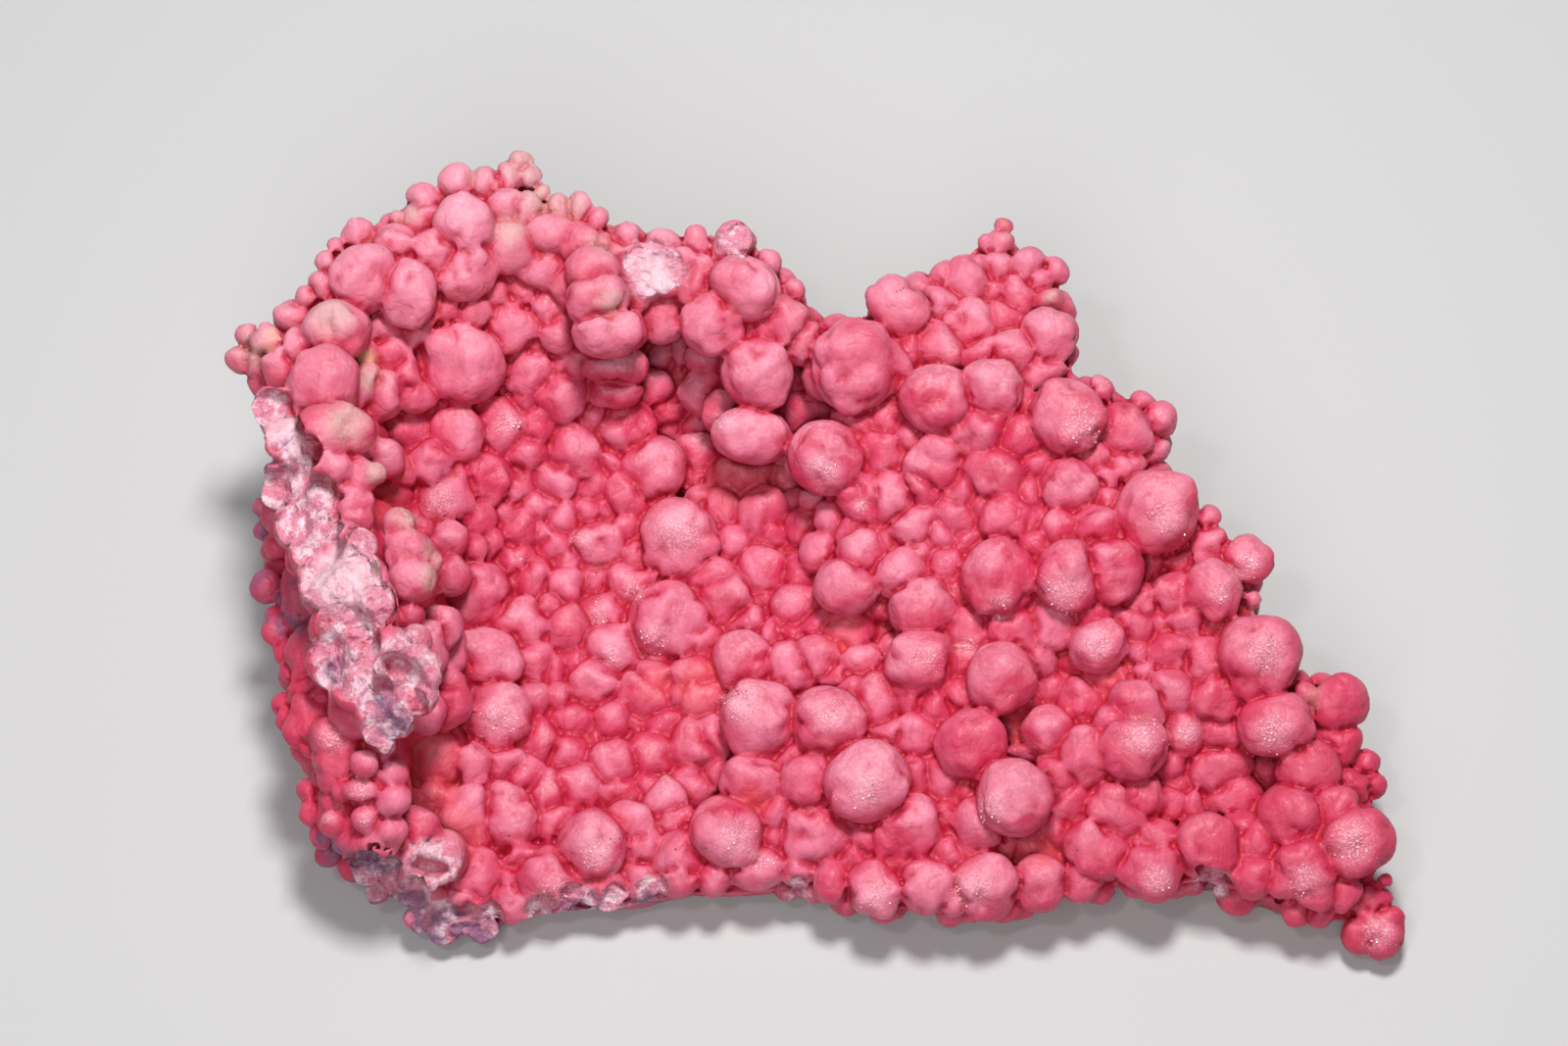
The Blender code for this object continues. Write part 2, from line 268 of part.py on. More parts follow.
def add_ball(centre, matrix):
    """Adds a ball of radius one, stretched and turned by the matrix, about the centre."""
    stretched = ball.copy()
    stretched.transform(Matrix.Translation(centre) @ matrix)
    lumps.from_mesh(stretched)
    bpy.data.meshes.remove(stretched)


def add_knob(across, up, long_radius, short_radius, turn, depth):
    """An oval knob seen at this point, with its long side turned from level."""
    scale = shrink(depth, up) / 1000
    deep_radius = math.sqrt(long_radius * short_radius) * KNOB_HEIGHT
    tilt = Matrix.Rotation(math.radians(FACE_TILT), 4, "X")
    spin = Matrix.Rotation(math.radians(turn), 4, "Z")
    size = Matrix.Diagonal((long_radius * scale, short_radius * scale, deep_radius * scale, 1.0))
    add_ball(place(across, up, depth), tilt @ spin @ size)


# The solid body: the crust's surface on top, sides that draw in, and a foot below the floor.
noise.seed_set(7)
spine = Vector((-0.004, -0.006, 0.0))
top = []
for edge_across, edge_up in BODY_EDGE:
    edge_depth = crust_depth(edge_across, edge_up) - CRUST_BELOW_KNOBS
    top.append(place(edge_across, edge_up, edge_depth))
edge_points = [Vector(point) for point in BODY_EDGE]
inner_points = []
for step_across in range(-88, 92, 3):
    for step_up in range(-60, 62, 3):
        inner_points.append(Vector((step_across, step_up)))
count = len(edge_points)
triangulation = delaunay_2d_cdt(
    edge_points + inner_points, [], [list(range(count - 1, -1, -1))], 1, 0.01
)
flat_points, _, flat_faces, origins, _, _ = triangulation
body = bmesh.new()
surface = []
for flat, origin in zip(flat_points, origins):
    if origin and origin[0] < count:
        surface.append(body.verts.new(top[origin[0]]))
    else:
        flat_depth = crust_depth(flat.x, flat.y) - CRUST_BELOW_KNOBS
        surface.append(body.verts.new(place(flat.x, flat.y, flat_depth)))
for corners in flat_faces:
    body.faces.new([surface[corner] for corner in corners])
rings = 9
lowest = -0.004
for side in body.edges[:]:
    if not side.is_boundary:
        continue
    first, second = side.verts
    columns = []
    for corner in (first, second):
        column = [corner]
        for ring in range(1, rings + 1):
            share = ring / rings
            drawn_in = 1.0 - (1.0 - FOOT_SHARE) * share
            level = corner.co.z + (lowest - corner.co.z) * share
            point = spine + (corner.co - spine) * drawn_in
            point.z = level
            rough = noise.noise_vector(point * 55.0) * 0.0030 + noise.noise_vector(point * 190.0) * 0.0016
            point.x += rough.x * min(1.0, 3.0 * share)
            point.y += rough.y * min(1.0, 3.0 * share)
            column.append(point)
        columns.append(column)
    for ring in range(rings):
        upper = [columns[0][ring], columns[1][ring]]
        lower = [columns[0][ring + 1], columns[1][ring + 1]]
        quad = []
        for point in (upper[0], upper[1], lower[1], lower[0]):
            quad.append(point if isinstance(point, bmesh.types.BMVert) else body.verts.new(point))
        body.faces.new(quad)
bmesh.ops.remove_doubles(body, verts=body.verts[:], dist=0.00001)
foot = [edge for edge in body.edges if edge.is_boundary]
bmesh.ops.holes_fill(body, edges=foot, sides=0)
bmesh.ops.recalc_face_normals(body, faces=body.faces[:])
body_mesh = bpy.data.meshes.new("body")
body.to_mesh(body_mesh)
body.free()
lumps.from_mesh(body_mesh)

# The knobs that were measured one by one.
for group in (TOP_LEFT, TOP_MIDDLE, TOP_RIGHT, BOWL, PLATEAU, RIGHT):
    for knob_across, knob_up, radius, lift in group:
        knob_depth = crust_depth(knob_across, knob_up) + raised(lift, radius)
        add_knob(knob_across, knob_up, radius, radius, 0, knob_depth)
for knob_across, knob_up, long_radius, short_radius, turn, lift in OVALS:
    knob_depth = crust_depth(knob_across, knob_up) + raised(lift, long_radius)
    add_knob(knob_across, knob_up, long_radius, short_radius, turn, knob_depth)
for knob_across, knob_up, radius, knob_depth in WALL + WALL_OUTSIDE:
    add_knob(knob_across, knob_up, radius, radius, 0, knob_depth)
for ring_across, ring_up, half_length, half_width, turn, ring_depth, lip in BROKEN_RINGS:
    for step in range(12):
        angle = math.tau * step / 12
        along = half_length * math.cos(angle)
        beside = half_width * math.sin(angle)
        lean = math.radians(turn)
        lip_across = ring_across + along * math.cos(lean) - beside * math.sin(lean)
        lip_up = ring_up + along * math.sin(lean) + beside * math.cos(lean)
        add_knob(lip_across, lip_up, lip, lip, 0, ring_depth)

# Smaller knobs between them, and down the upper part of the sides.
random.seed(11)
for fill_row in range(-17, 18):
    for fill_column in range(-25, 27):
        fill_across = 3.5 * fill_column + random.uniform(-1.1, 1.1)
        fill_up = 3.5 * fill_row + random.uniform(-1.1, 1.1)
        fill_radius = random.uniform(1.7, 2.6)
        nearest = min(math.hypot(fill_across - a, fill_up - b) for a, b in BODY_EDGE)
        inside = False
        for here, after in zip(BODY_EDGE, BODY_EDGE[1:] + BODY_EDGE[:1]):
            if (here[1] > fill_up) != (after[1] > fill_up):
                share = (fill_up - here[1]) / (after[1] - here[1])
                if fill_across < here[0] + share * (after[0] - here[0]):
                    inside = not inside
        if inside and nearest > 2.0:
            fill_depth = crust_depth(fill_across, fill_up) - 1.2
            add_knob(fill_across, fill_up, fill_radius, fill_radius, 0, fill_depth)
for here, after in zip(top, top[1:] + top[:1]):
    steps = max(1, round((after - here).length / 0.0034))
    for step in range(steps):
        rim_point = here.lerp(after, (step + random.random()) / steps)
        for row in range(1, 4):
            down = row * 0.0034 + random.uniform(-0.0008, 0.0008)
            if rim_point.z - down < 0.0055:
                break
            if down > 0.55 * rim_point.z:
                break
            share = down / (rim_point.z - lowest)
            centre = spine + (rim_point - spine) * (1.0 - (1.0 - FOOT_SHARE) * share)
            centre.z = rim_point.z - down
            side_radius = random.uniform(0.0018, 0.0031)
            add_ball(centre, Matrix.Diagonal((side_radius, side_radius, side_radius, 1.0)))

# All of it fused into one skin, thinned out and cut off flat at the floor.
lump_mesh = bpy.data.meshes.new("lumps")
lumps.to_mesh(lump_mesh)
lumps.free()
lump_object = bpy.data.objects.new("lumps", lump_mesh)
bpy.context.scene.collection.objects.link(lump_object)
fuse = lump_object.modifiers.new("fuse", "REMESH")
fuse.mode = "VOXEL"
fuse.voxel_size = GRAIN / 1000
bpy.context.view_layer.update()
graph = bpy.context.evaluated_depsgraph_get()
fused_mesh = bpy.data.meshes.new_from_object(lump_object.evaluated_get(graph))
lump_object.modifiers.clear()
lump_object.data = fused_mesh
thin = lump_object.modifiers.new("thin", "DECIMATE")
thin.ratio = TRIANGLES / (2 * len(fused_mesh.polygons))
thin.use_collapse_triangulate = True
bpy.context.view_layer.update()
graph = bpy.context.evaluated_depsgraph_get()
thin_mesh = bpy.data.meshes.new_from_object(lump_object.evaluated_get(graph))
bpy.data.objects.remove(lump_object)

crust = bmesh.new()
crust.from_mesh(thin_mesh)
everything = crust.verts[:] + crust.edges[:] + crust.faces[:]
bmesh.ops.bisect_plane(
    crust, geom=everything, dist=0.00002, plane_co=(0, 0, 0), plane_no=(0, 0, -1), clear_outer=True
)
cut = [edge for edge in crust.edges if edge.is_boundary]
bmesh.ops.holes_fill(crust, edges=cut, sides=0)
bmesh.ops.triangulate(crust, faces=[face for face in crust.faces if len(face.verts) > 3])
bmesh.ops.recalc_face_normals(crust, faces=crust.faces[:])
crust_mesh = bpy.data.meshes.new("rhodochrosite_crust")
crust.to_mesh(crust_mesh)
crust.free()
crust_object = bpy.data.objects.new("rhodochrosite_crust", crust_mesh)
bpy.context.scene.collection.objects.link(crust_object)

pink = bpy.data.materials.new("rhodochrosite")
pink.use_nodes = True
shader = pink.node_tree.nodes["Principled BSDF"]
shader.inputs["Base Color"].default_value = (0.80, 0.20, 0.26, 1.0)
shader.inputs["Roughness"].default_value = 0.42
shader.inputs["Metallic"].default_value = 0.0
crust_mesh.materials.append(pink)
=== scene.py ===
"""A lit still of a knobby pink rhodochrosite crust, lying on its flat cut back."""

import math
import random
from itertools import product

import bmesh
import bpy
import numpy as np
from mathutils import Matrix, Vector, noise
from mathutils.geometry import delaunay_2d_cdt


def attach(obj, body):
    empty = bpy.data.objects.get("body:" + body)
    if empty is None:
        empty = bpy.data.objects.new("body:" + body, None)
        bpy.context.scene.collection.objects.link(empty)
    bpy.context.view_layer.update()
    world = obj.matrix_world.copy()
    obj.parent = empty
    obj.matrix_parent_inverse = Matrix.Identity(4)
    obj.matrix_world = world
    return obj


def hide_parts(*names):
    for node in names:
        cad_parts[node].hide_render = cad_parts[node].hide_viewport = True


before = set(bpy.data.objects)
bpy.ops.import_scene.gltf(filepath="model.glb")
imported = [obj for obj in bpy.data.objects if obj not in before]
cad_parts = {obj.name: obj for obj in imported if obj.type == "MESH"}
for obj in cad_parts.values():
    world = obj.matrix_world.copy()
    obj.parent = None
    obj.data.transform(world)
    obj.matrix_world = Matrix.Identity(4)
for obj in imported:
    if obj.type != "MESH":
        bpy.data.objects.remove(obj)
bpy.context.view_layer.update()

# The crust. One natural stone, hundreds of rounded knobs of rhodochrosite grown together on
# rock: first how far its surface stands towards the viewer, then every knob that can be told
# apart, in millimetres across and up as seen, then its broken places.
FACE_TILT = math.radians(28.0)
FACE_SLOPE = 0.25
FACE_HEIGHT = 23.5
SIGHT_DISTANCE = 667.0
CRUST_BELOW_KNOBS = 2.0
EDGE_SPREAD = 2.0
FOOT_SHARE = 0.84
USUAL_RADIUS = 3.0
KNOB_HEIGHT = 0.87
KNOB_OUT = 0.35
LIFT_STEP = 0.4
LARGE_KNOB_LIFT = 0.06
LARGE_KNOB_FLATNESS = 0.09
# How far a knob grows into the open, how tightly it closes up to the lines where it meets its
# neighbours, and how much it has to stand over one to keep its own width there.
MOST_GROWTH = 2.6
MEETING = 7
STANDS_OVER = 2.4
# How sharp the ridges between a knob's flattened sides are.
RIDGES = 14.0
# The cells that everything is fused in, in metres, and the triangles that are left.
GRAIN = 0.00040
TRIANGLES = 199000

# How far the crust stands towards the viewer: (across, up, depth).
DEPTHS = [
    (-88, 30, 6), (-80, 33, 10), (-74, 34, 12), (-75, 26, 15), (-66, 26, 4), (-66, 32, 4),
    (-70, 42, 10), (-62, 41, 9), (-66, 49, 7), (-58, 54, 5), (-54, 48, 8), (-46, 58, 4),
    (-45, 50, 6), (-37, 50, 5), (-55, 38, 3), (-54, 29, 0), (-46, 35, -1), (-41, 38, 0),
    (-40, 28, -5), (-33, 40, 8), (-32, 34, 7), (-30, 27, -4), (-24, 44, 5), (-24, 36, 0),
    (-23, 31, -15), (-21, 27, -14), (-17, 29, -8), (-18, 41, 4), (-12, 47, 4), (-10, 40, 6),
    (-16, 35, 4), (-4, 37, 3), (-9, 28, 2), (-10, 18, -1), (-20, 20, -17), (-18, 13, -15),
    (-10, 11, -12), (-3, 13, -14), (-2, 23, -10), (-14, 6, -11), (-5, 1, -11), (-8, -8, -9),
    (-62, 18, -4), (-65, 9, -5), (-56, 8, -7), (-47, 20, -7), (-36, 17, -10), (-29, 19, -11),
    (-45, 8, -10), (-35, 8, -12), (-25, 12, -11), (-45, -3, -11), (-52, -7, -9), (-33, -2, -12),
    (-21, 0, -10), (-28, -8, -11), (-22, -11, -9), (-14, -7, -9), (-45, -15, -9), (-33, -16, -10),
    (-11, -17, -5), (-4, -12, -6), (-48, -25, -6), (-36, -26, -8), (-26, -25, -8), (-18, -24, -7),
    (-8, -25, -2), (-9, -35, -2), (-18, -35, -8), (-28, -35, -7), (-38, -36, -6), (-46, -38, -5),
    (-58, -30, -5), (-54, -41, -5), (-60, -38, -4), (-33, -45, -3), (-24, -42, -4), (-14, -43, -1),
    (-41, -51, -3), (-30, -51, -4), (-20, -50, -3), (-9, -49, -3), (-53, -52, -3), (0, -42, -2),
    (-1, -35, 0), (2, -26, 1), (8, -35, 2), (6, -17, -3), (5, -12, -6), (10, -11, -8), (6, 29, 4),
    (13, 37, 2), (1, 14, 2), (10, 18, 0), (8, 8, -1), (5, -4, 0), (15, -6, 1), (16, -17, 2),
    (19, 24, 5), (27, 25, 5), (18, 13, 2), (23, 42, -2), (23, 35, -1), (29, 49, -4), (34, 43, -3),
    (36, 34, 0), (35, 27, -1), (28, 12, 3), (21, 5, 1), (28, -4, 4), (39, 21, 5), (39, 10, 3),
    (48, 19, 1), (53, 19, -1), (40, -3, 6), (52, 6, 5), (60, 2, 1), (66, -1, 1), (61, -6, 3),
    (55, -3, -2), (56, -8, 2), (68, -15, 4), (58, -13, -2), (56, -19, 2), (43, -14, 3),
    (30, -12, 1), (22, -11, 0), (28, -19, 4), (36, -22, -3), (41, -19, -3), (49, -28, 4),
    (62, -23, 1), (70, -26, 3), (80, -23, 0), (80, -29, -2), (60, -32, -3), (67, -33, -9),
    (63, -37, -4), (75, -33, 0), (85, -33, -5), (83, -44, 2), (73, -40, 1), (75, -49, 1),
    (73, -55, -3), (86, -57, -6), (24, -29, 3), (31, -27, -3), (15, -28, 1), (30, -37, 5),
    (20, -38, -1), (36, -27, 1), (42, -31, 2), (38, -37, 0), (47, -38, 0), (55, -37, -3),
    (43, -45, 0), (52, -47, 0), (60, -45, 1), (67, -48, 0), (33, -46, -4), (26, -50, 0),
    (17, -50, 0), (9, -51, -1), (2, -50, -2), (15, -42, 0), (35, -50, -1), (40, -51, -2),
    (-83, 22, 13), (-76, 17, 17), (-70, 17, 13), (-74, 9, 17), (-70, 8, 14), (-82, 9, 9),
    (-73, 0, 19), (-70, -5, 24), (-78, 1, 10), (-66, -11, 25), (-64, 3, 8), (-62, -3, 8),
    (-58, -11, -2), (-63, -18, 25), (-68, -19, 22), (-59, -20, 2), (-64, -26, 14), (-69, -27, 14),
    (-82, -4, -5), (-80, -12, 0), (-76, -15, 8), (-79, -20, 5), (-80, -27, 5), (-73, -28, 11),
    (-69, -34, 12), (-76, -34, 4), (-70, -41, 9), (-76, -41, 3), (-65, -41, 8), (-60, -46, 2),
    (-68, -48, -3), (-62, -53, -6), (-52, -57, -7), (-76, -46, -5),
]

# The edge of the solid body, a little inside the knobs along it: (across, up).
BODY_EDGE = [
    (-84, 29), (-80, 34), (-74, 41), (-69, 47), (-61, 52), (-54, 56), (-47, 57), (-42, 52),
    (-36, 51), (-32, 48), (-26, 47), (-17, 47), (-11, 46), (-5, 40), (-1, 34), (6, 33), (12, 38),
    (20, 41), (27, 46), (33, 43), (36, 38), (37, 32), (38, 26), (47, 22), (52, 18), (51, 12),
    (57, 6), (61, 1), (66, -3), (64, -8), (70, -14), (71, -20), (80, -22), (81, -29), (83, -36),
    (84, -45), (84, -55), (77, -54), (68, -50), (60, -48), (50, -49), (40, -50), (30, -52),
    (18, -53), (8, -52), (0, -49), (-10, -50), (-20, -50), (-30, -52), (-41, -53), (-50, -55),
    (-58, -55), (-64, -50), (-71, -46), (-75, -40), (-75, -33), (-79, -26), (-79, -18), (-80, -10),
    (-81, -3), (-82, 5), (-80, 12), (-79, 20), (-82, 25),
]

# Knobs, from the upper left by way of the hollow and the middle to the lower right:
# (across, up, radius, lift), the lift being on top of the crust's own depth there.
KNOBS = [
    (-88, 29.8, 2.5, 0), (-85.5, 29.6, 2.6, 1), (-82.5, 29.5, 3, 2), (-86.5, 33.2, 2.4, 0),
    (-84, 32.6, 3, 1), (-80.8, 36.4, 2.2, -3), (-75.3, 26.8, 5, 1), (-79.5, 31.5, 3, 2),
    (-74.4, 44.4, 2.2, -1), (-75.3, 41.2, 2.5, 0), (-78, 39.5, 1.8, -2), (-69.6, 42.5, 5.5, 1),
    (-69.9, 48.6, 3, 0), (-64.8, 47.3, 3.5, 1), (-64, 51.3, 1.4, -1), (-73.1, 47, 1.6, -1),
    (-60, 54, 2.8, -1), (-60.4, 51.5, 3.3, 0), (-54.5, 56.6, 3.2, 0), (-53.9, 50.2, 4.5, 2),
    (-53.5, 43.1, 4.2, 2), (-58, 46.3, 3.2, 1), (-50.3, 56.6, 3, 0), (-55.8, 38.7, 3, 0),
    (-52.3, 37.7, 2.6, 0), (-65.1, 30.6, 2.6, 0), (-65.7, 24.5, 3, 0), (-60.2, 33.6, 2.4, -1),
    (-45, 59.8, 2.1, 0), (-43.9, 57.5, 2.4, 0), (-46.8, 57.2, 2.8, 0), (-42, 55, 1.8, 0),
    (-47.1, 53.4, 3.2, 1), (-44, 53, 3, 1), (-39.5, 52.8, 2.4, 0), (-36, 53, 2.4, 0),
    (-33.5, 51.3, 2, 0), (-40.7, 49.2, 3.5, 1), (-35.6, 47.6, 3, 1), (-46.8, 47, 3.5, 0),
    (-41.3, 37.4, 2.8, 0), (-45, 40.5, 2.8, 0), (-37.5, 41, 2.5, 0), (-32.7, 47, 1.8, 1),
    (-34, 43.1, 3.6, 1), (-33.3, 39, 4.4, 2), (-28.2, 34.5, 1.8, 2), (-43.1, 27.8, 3.7, 0),
    (-38.8, 24.2, 3.7, 0), (-37.2, 29.7, 3, 0), (-42.3, 31.4, 2, 0), (-47.1, 21.7, 2.2, 0),
    (-28.8, 48.6, 2.2, 0), (-26.5, 44.5, 3.2, 0), (-22.8, 43.5, 3.2, 0), (-26.2, 41.5, 2.2, 0),
    (-27.6, 39.9, 2, 0), (-23.4, 35.8, 3.2, 0), (-18.3, 48.3, 2, 0), (-12.2, 47.6, 3.5, 0),
    (-10.3, 40.6, 5.4, 1), (-7.4, 44.4, 2.4, 1), (-3.2, 40.3, 1.8, 0), (-15.7, 35.1, 4.8, 2),
    (-21.6, 36.1, 1.5, 1), (-20.8, 27.4, 2.1, 0), (-17, 29.7, 2.5, 0), (-8.7, 27.8, 5.6, 2),
    (-4.5, 35.4, 4, 1), (-2.6, 32.2, 2.5, 0), (-14, 21.5, 2.8, 1), (-23.1, 21.7, 3, 0),
    (-1.6, 32.6, 3.4, 0), (1.3, 27.1, 3, 1), (11.2, 29, 3, 1), (22.8, 41.9, 3.6, 0),
    (19.6, 42.5, 2, 0), (25, 43.5, 2, 0), (23.1, 34.8, 3.8, 0), (18.9, 31.3, 3.8, 0),
    (28.9, 49.9, 1.7, 0), (28.5, 47.6, 2.3, 0), (26.3, 47.6, 1.5, 0), (28.5, 43.8, 2.6, 0),
    (32.7, 43.8, 3.2, 0), (36.6, 43.1, 2.5, 0), (34.6, 41.9, 2.8, 0), (35.9, 39, 2.4, 0),
    (31, 39.5, 2.8, 0), (28.9, 36.1, 2.3, 0), (27.7, 39.9, 1.3, 1), (36.2, 33.5, 4.2, 1),
    (30.1, 30.3, 3, 0), (18.6, 23.6, 5.3, 1), (27, 25, 4.6, 1), (25, 19, 4, 1), (11, 20.5, 2.8, 0),
    (38.7, 21.2, 6, 2), (47.5, 19, 4.6, 1), (52.5, 20.5, 3.2, 0), (52, 16, 2.4, 0), (47, 13, 3, -1),
    (43.5, 25, 2.4, -1), (50, 23, 2.2, 0), (-62.5, 18.5, 4, 0), (-59.3, 14, 3.3, 0),
    (-55, 18.3, 3.7, 0), (-48.3, 19.5, 4.4, 0), (-43, 19.5, 2.9, 0), (-60.8, 20.8, 2.2, 0),
    (-66, 14.5, 2.6, 0), (-64, 12.5, 2.6, 0), (-65, 9, 3.2, 0), (-57, 8.3, 5.3, 1),
    (-50.5, 11.3, 3.7, 0), (-45.8, 10.8, 3.3, 0), (-40, 11.5, 3.7, 0), (-34, 10.5, 3.2, 0),
    (-51.5, 5, 2.4, 0), (-47.5, 5.5, 2.4, 0), (-45.3, 3.6, 3.2, 0), (-56, 2.2, 2.4, 0),
    (-52.3, 1, 1.9, 0), (-43.5, -4, 3.6, 0), (-52, -6.2, 5.5, 1), (-56, -3.5, 2.6, 0),
    (-45, -11.2, 4, 0), (-49.8, -17, 4.9, 1), (-43.8, -17.3, 3.8, 0), (-57, -19.5, 2.5, 0),
    (-37, 15.5, 4.6, 0), (-29, 19, 4.7, 0), (-34, 21.5, 3, -1), (-22.5, 20, 2.3, 0),
    (-25, 13, 5.3, 1), (-29, 9.3, 3.5, 1), (-32.5, 7, 2.5, 0), (-18, 15, 3, 0),
    (-14.3, 11.3, 2.1, 1), (-14, 7, 3.2, 0), (-17.5, 8, 2.2, 0), (-8, 6, 4, 1), (-6.5, 3, 3, 0),
    (-3.5, 7.5, 2.1, -1), (-20.7, 2.5, 6.3, 4), (-39, 5.2, 2.7, 0), (-34.5, 6.3, 2.7, 0),
    (-42, 3, 2, 0), (-30, 2.5, 2.5, 0), (-38.5, -5, 2.9, 0), (-40, 1, 2.4, 0), (-38.3, -1.5, 2, 0),
    (-33.5, -4.5, 2.5, 0), (-28, -5, 3.3, 1), (-13, 1, 2.8, 0), (-7.5, -3, 3.6, 1),
    (-7.5, -7, 2.1, 0), (-3, -8, 3.3, 0), (-22.5, -10.8, 6.6, 2), (-18, -13.7, 3, 1),
    (-14, -7, 4.4, 1), (-15.2, -4, 3, 1), (-10.5, -11, 3, 0), (-31, -15, 4.3, 1), (-36, -18, 3, 0),
    (-40, -18.5, 2.2, 0), (-11, -16.5, 4.4, 1), (-7, -13, 2.1, 0), (-4, -17.5, 4, 0),
    (-3, -13, 2, 0), (-19, -19, 3.6, -1), (-24, -19.2, 3, -1), (-48.8, -24.7, 6.1, 2),
    (-43.5, -22, 3, 0), (-39.5, -22, 2.6, 0), (-34, -19.8, 4.4, 1), (-37.5, -26, 3.3, 0),
    (-41.5, -28.8, 3.1, 0), (-38, -30.3, 3.3, 0), (-31, -26, 3, 0), (-25.5, -22, 3.7, 0),
    (-18, -22, 3.5, 0), (-21, -21.5, 2.5, 0), (-23.5, -26.3, 2.9, 0), (-8.5, -25.5, 6.3, 3),
    (-18.5, -29.5, 3.9, 0), (-15.8, -28.3, 3, 0), (-25, -30.5, 3.6, 0), (-30.8, -32.5, 3.8, 0),
    (-30.3, -36.5, 3.2, 0), (-36.3, -35.5, 3.4, 0), (-41.2, -37, 3.3, 0), (-44.5, -34.3, 2.6, 0),
    (-40.2, -40.8, 2.9, 0), (-25.7, -36, 2.3, 0), (-23.3, -38, 3.1, 0), (-19, -35.5, 3.1, 0),
    (-34.2, -45, 5.6, 2), (-28.6, -41.8, 3.5, 1), (-26.8, -45, 3.2, 0), (-27, -49.2, 2.6, 0),
    (-21, -46.5, 3.9, 0), (-21, -49.5, 3.3, 0), (-22, -41, 2.6, 0), (-41, -50, 5.2, 1),
    (-46.5, -50.6, 2.6, 0), (-46.3, -53.3, 3.6, 0), (-32, -51.5, 3.2, 0), (-15.5, -50.3, 2.5, 0),
    (-53.5, -40.5, 4.9, 1), (-58.5, -30.5, 6.2, 0), (-53, -31.5, 3.3, 1), (-56.5, -23, 3.2, 0),
    (-60, -24, 3, 0), (-61.5, -38, 2.3, 0), (-58.5, -36.5, 3, 0), (-52.3, -49.8, 3.9, 0),
    (-53.5, -53, 3.3, 0), (-45, -46, 3, 0), (1.5, 14.5, 5.9, 2), (10.2, 15.5, 3.4, 0),
    (7.5, 8.5, 3.8, 1), (11.5, 8.3, 4.2, 1), (14.7, 4.2, 3.3, 1), (2.5, 5.5, 2.4, 0),
    (18.3, 13.5, 4.3, 0), (16, 10, 3, 0), (21.6, 5.5, 2.9, 0), (29.3, 5.5, 3.7, 0),
    (33, 5, 2.5, -1), (45, 12, 2.5, -1), (28, -3.5, 6.2, 2), (20, -1.5, 2.6, 0), (23, 1.5, 2, -1),
    (0.8, 0, 2.9, 1), (7.5, 0, 3.6, 0), (11, 1.5, 2.5, 0), (13.5, -3.2, 3.8, 0),
    (16.3, -8.3, 4.8, 2), (5, -12, 4, 0), (10, -12, 2.2, 0), (0.3, -16, 3.5, 1), (6.5, -16, 3, 0),
    (16, -16.5, 5.3, 1), (12, -14.5, 2, 0), (23, -11.5, 3.6, 0), (30.5, -12, 3.7, 0),
    (36.3, -11, 3.6, 0), (39, -16.2, 2.6, 0), (48.5, -10.8, 3.2, 0), (49.5, -8, 2.8, 0),
    (39, -3.2, 5.6, 1), (45, -2.5, 5.4, 1), (43.5, 3.5, 3.6, 0), (52.5, 6.5, 7, 2),
    (59.7, 5.2, 2.6, 0), (60.3, 2, 3, 0), (60.3, -1.5, 2.6, 0), (66, -1, 4.1, 0),
    (61, -5.3, 4.4, 1), (55.3, -6.5, 3.5, 0), (56.5, -9.8, 3.2, 0), (67, -7, 1.5, -1),
    (53.5, -4, 2, -1), (28.5, -19, 5.3, 1), (36, -21, 2.7, 1), (31, -27, 2.7, 0),
    (35.6, -27.3, 3.8, 0), (30.3, -37.3, 6.3, 2), (25.2, -41, 3.8, 1), (36.5, -35, 4, 0),
    (39, -37.8, 3.5, 0), (23.8, -29.3, 5.5, 1), (19.5, -34.3, 3.2, 0), (15.5, -27.8, 3.3, 0),
    (14.5, -21.8, 3, -1), (21.8, -22, 2.6, -1), (9.2, -22.8, 3.9, 1), (5.6, -21.5, 2.6, 1),
    (2, -26, 6.1, 1), (8, -34.8, 6.8, 3), (14.3, -33.8, 2.8, 0), (-0.8, -34.8, 4.2, 0),
    (15, -41.8, 4.9, 1), (11.5, -44, 2.7, 1), (7.5, -44, 2.2, 0), (20.3, -40.5, 3, 0),
    (23.5, -44.5, 2.5, 0), (17, -51, 4.4, 0), (21, -53.3, 2.2, 0), (26, -50.8, 5.4, 0),
    (33.5, -46, 3.8, 0), (34.3, -50.5, 4.4, 0), (40, -50.3, 3.6, 0), (9, -51.4, 4.7, 0),
    (2.5, -50.6, 3.3, 0), (-2.5, -49, 2.3, 0), (68, -15.5, 6.8, 1), (54.3, -15.5, 3.7, 0),
    (59.5, -17, 4.2, 0), (54.5, -20.5, 3.6, 0), (61, -21.5, 4.1, 0), (80.2, -22.5, 4.5, 0),
    (80.5, -28.7, 3.4, 0), (75.5, -22, 2, 0), (75.5, -33.3, 4.4, 0), (84.2, -32, 2.6, 0),
    (85.2, -35.2, 2.3, 0), (82.5, -35.5, 3, 0), (82.8, -44, 6.2, 1), (80, -40, 4, 1),
    (73, -40.3, 4.9, 0), (48.5, -29.5, 5.4, 1), (49, -23.5, 4, 0), (46, -26, 3, 0),
    (56, -27.3, 3.2, 0), (61.5, -27.3, 2.9, 0), (45.5, -19, 3.8, 0), (42, -31, 4.5, 0),
    (46.3, -39.3, 4.6, 1), (49.5, -37.3, 3.4, 1), (54, -38.3, 3, 0), (55, -35.5, 2.2, -1),
    (52, -44.5, 3.2, 0), (51.5, -48.4, 4.8, 0), (60, -45, 5.2, 0), (64, -42.5, 2.5, 0),
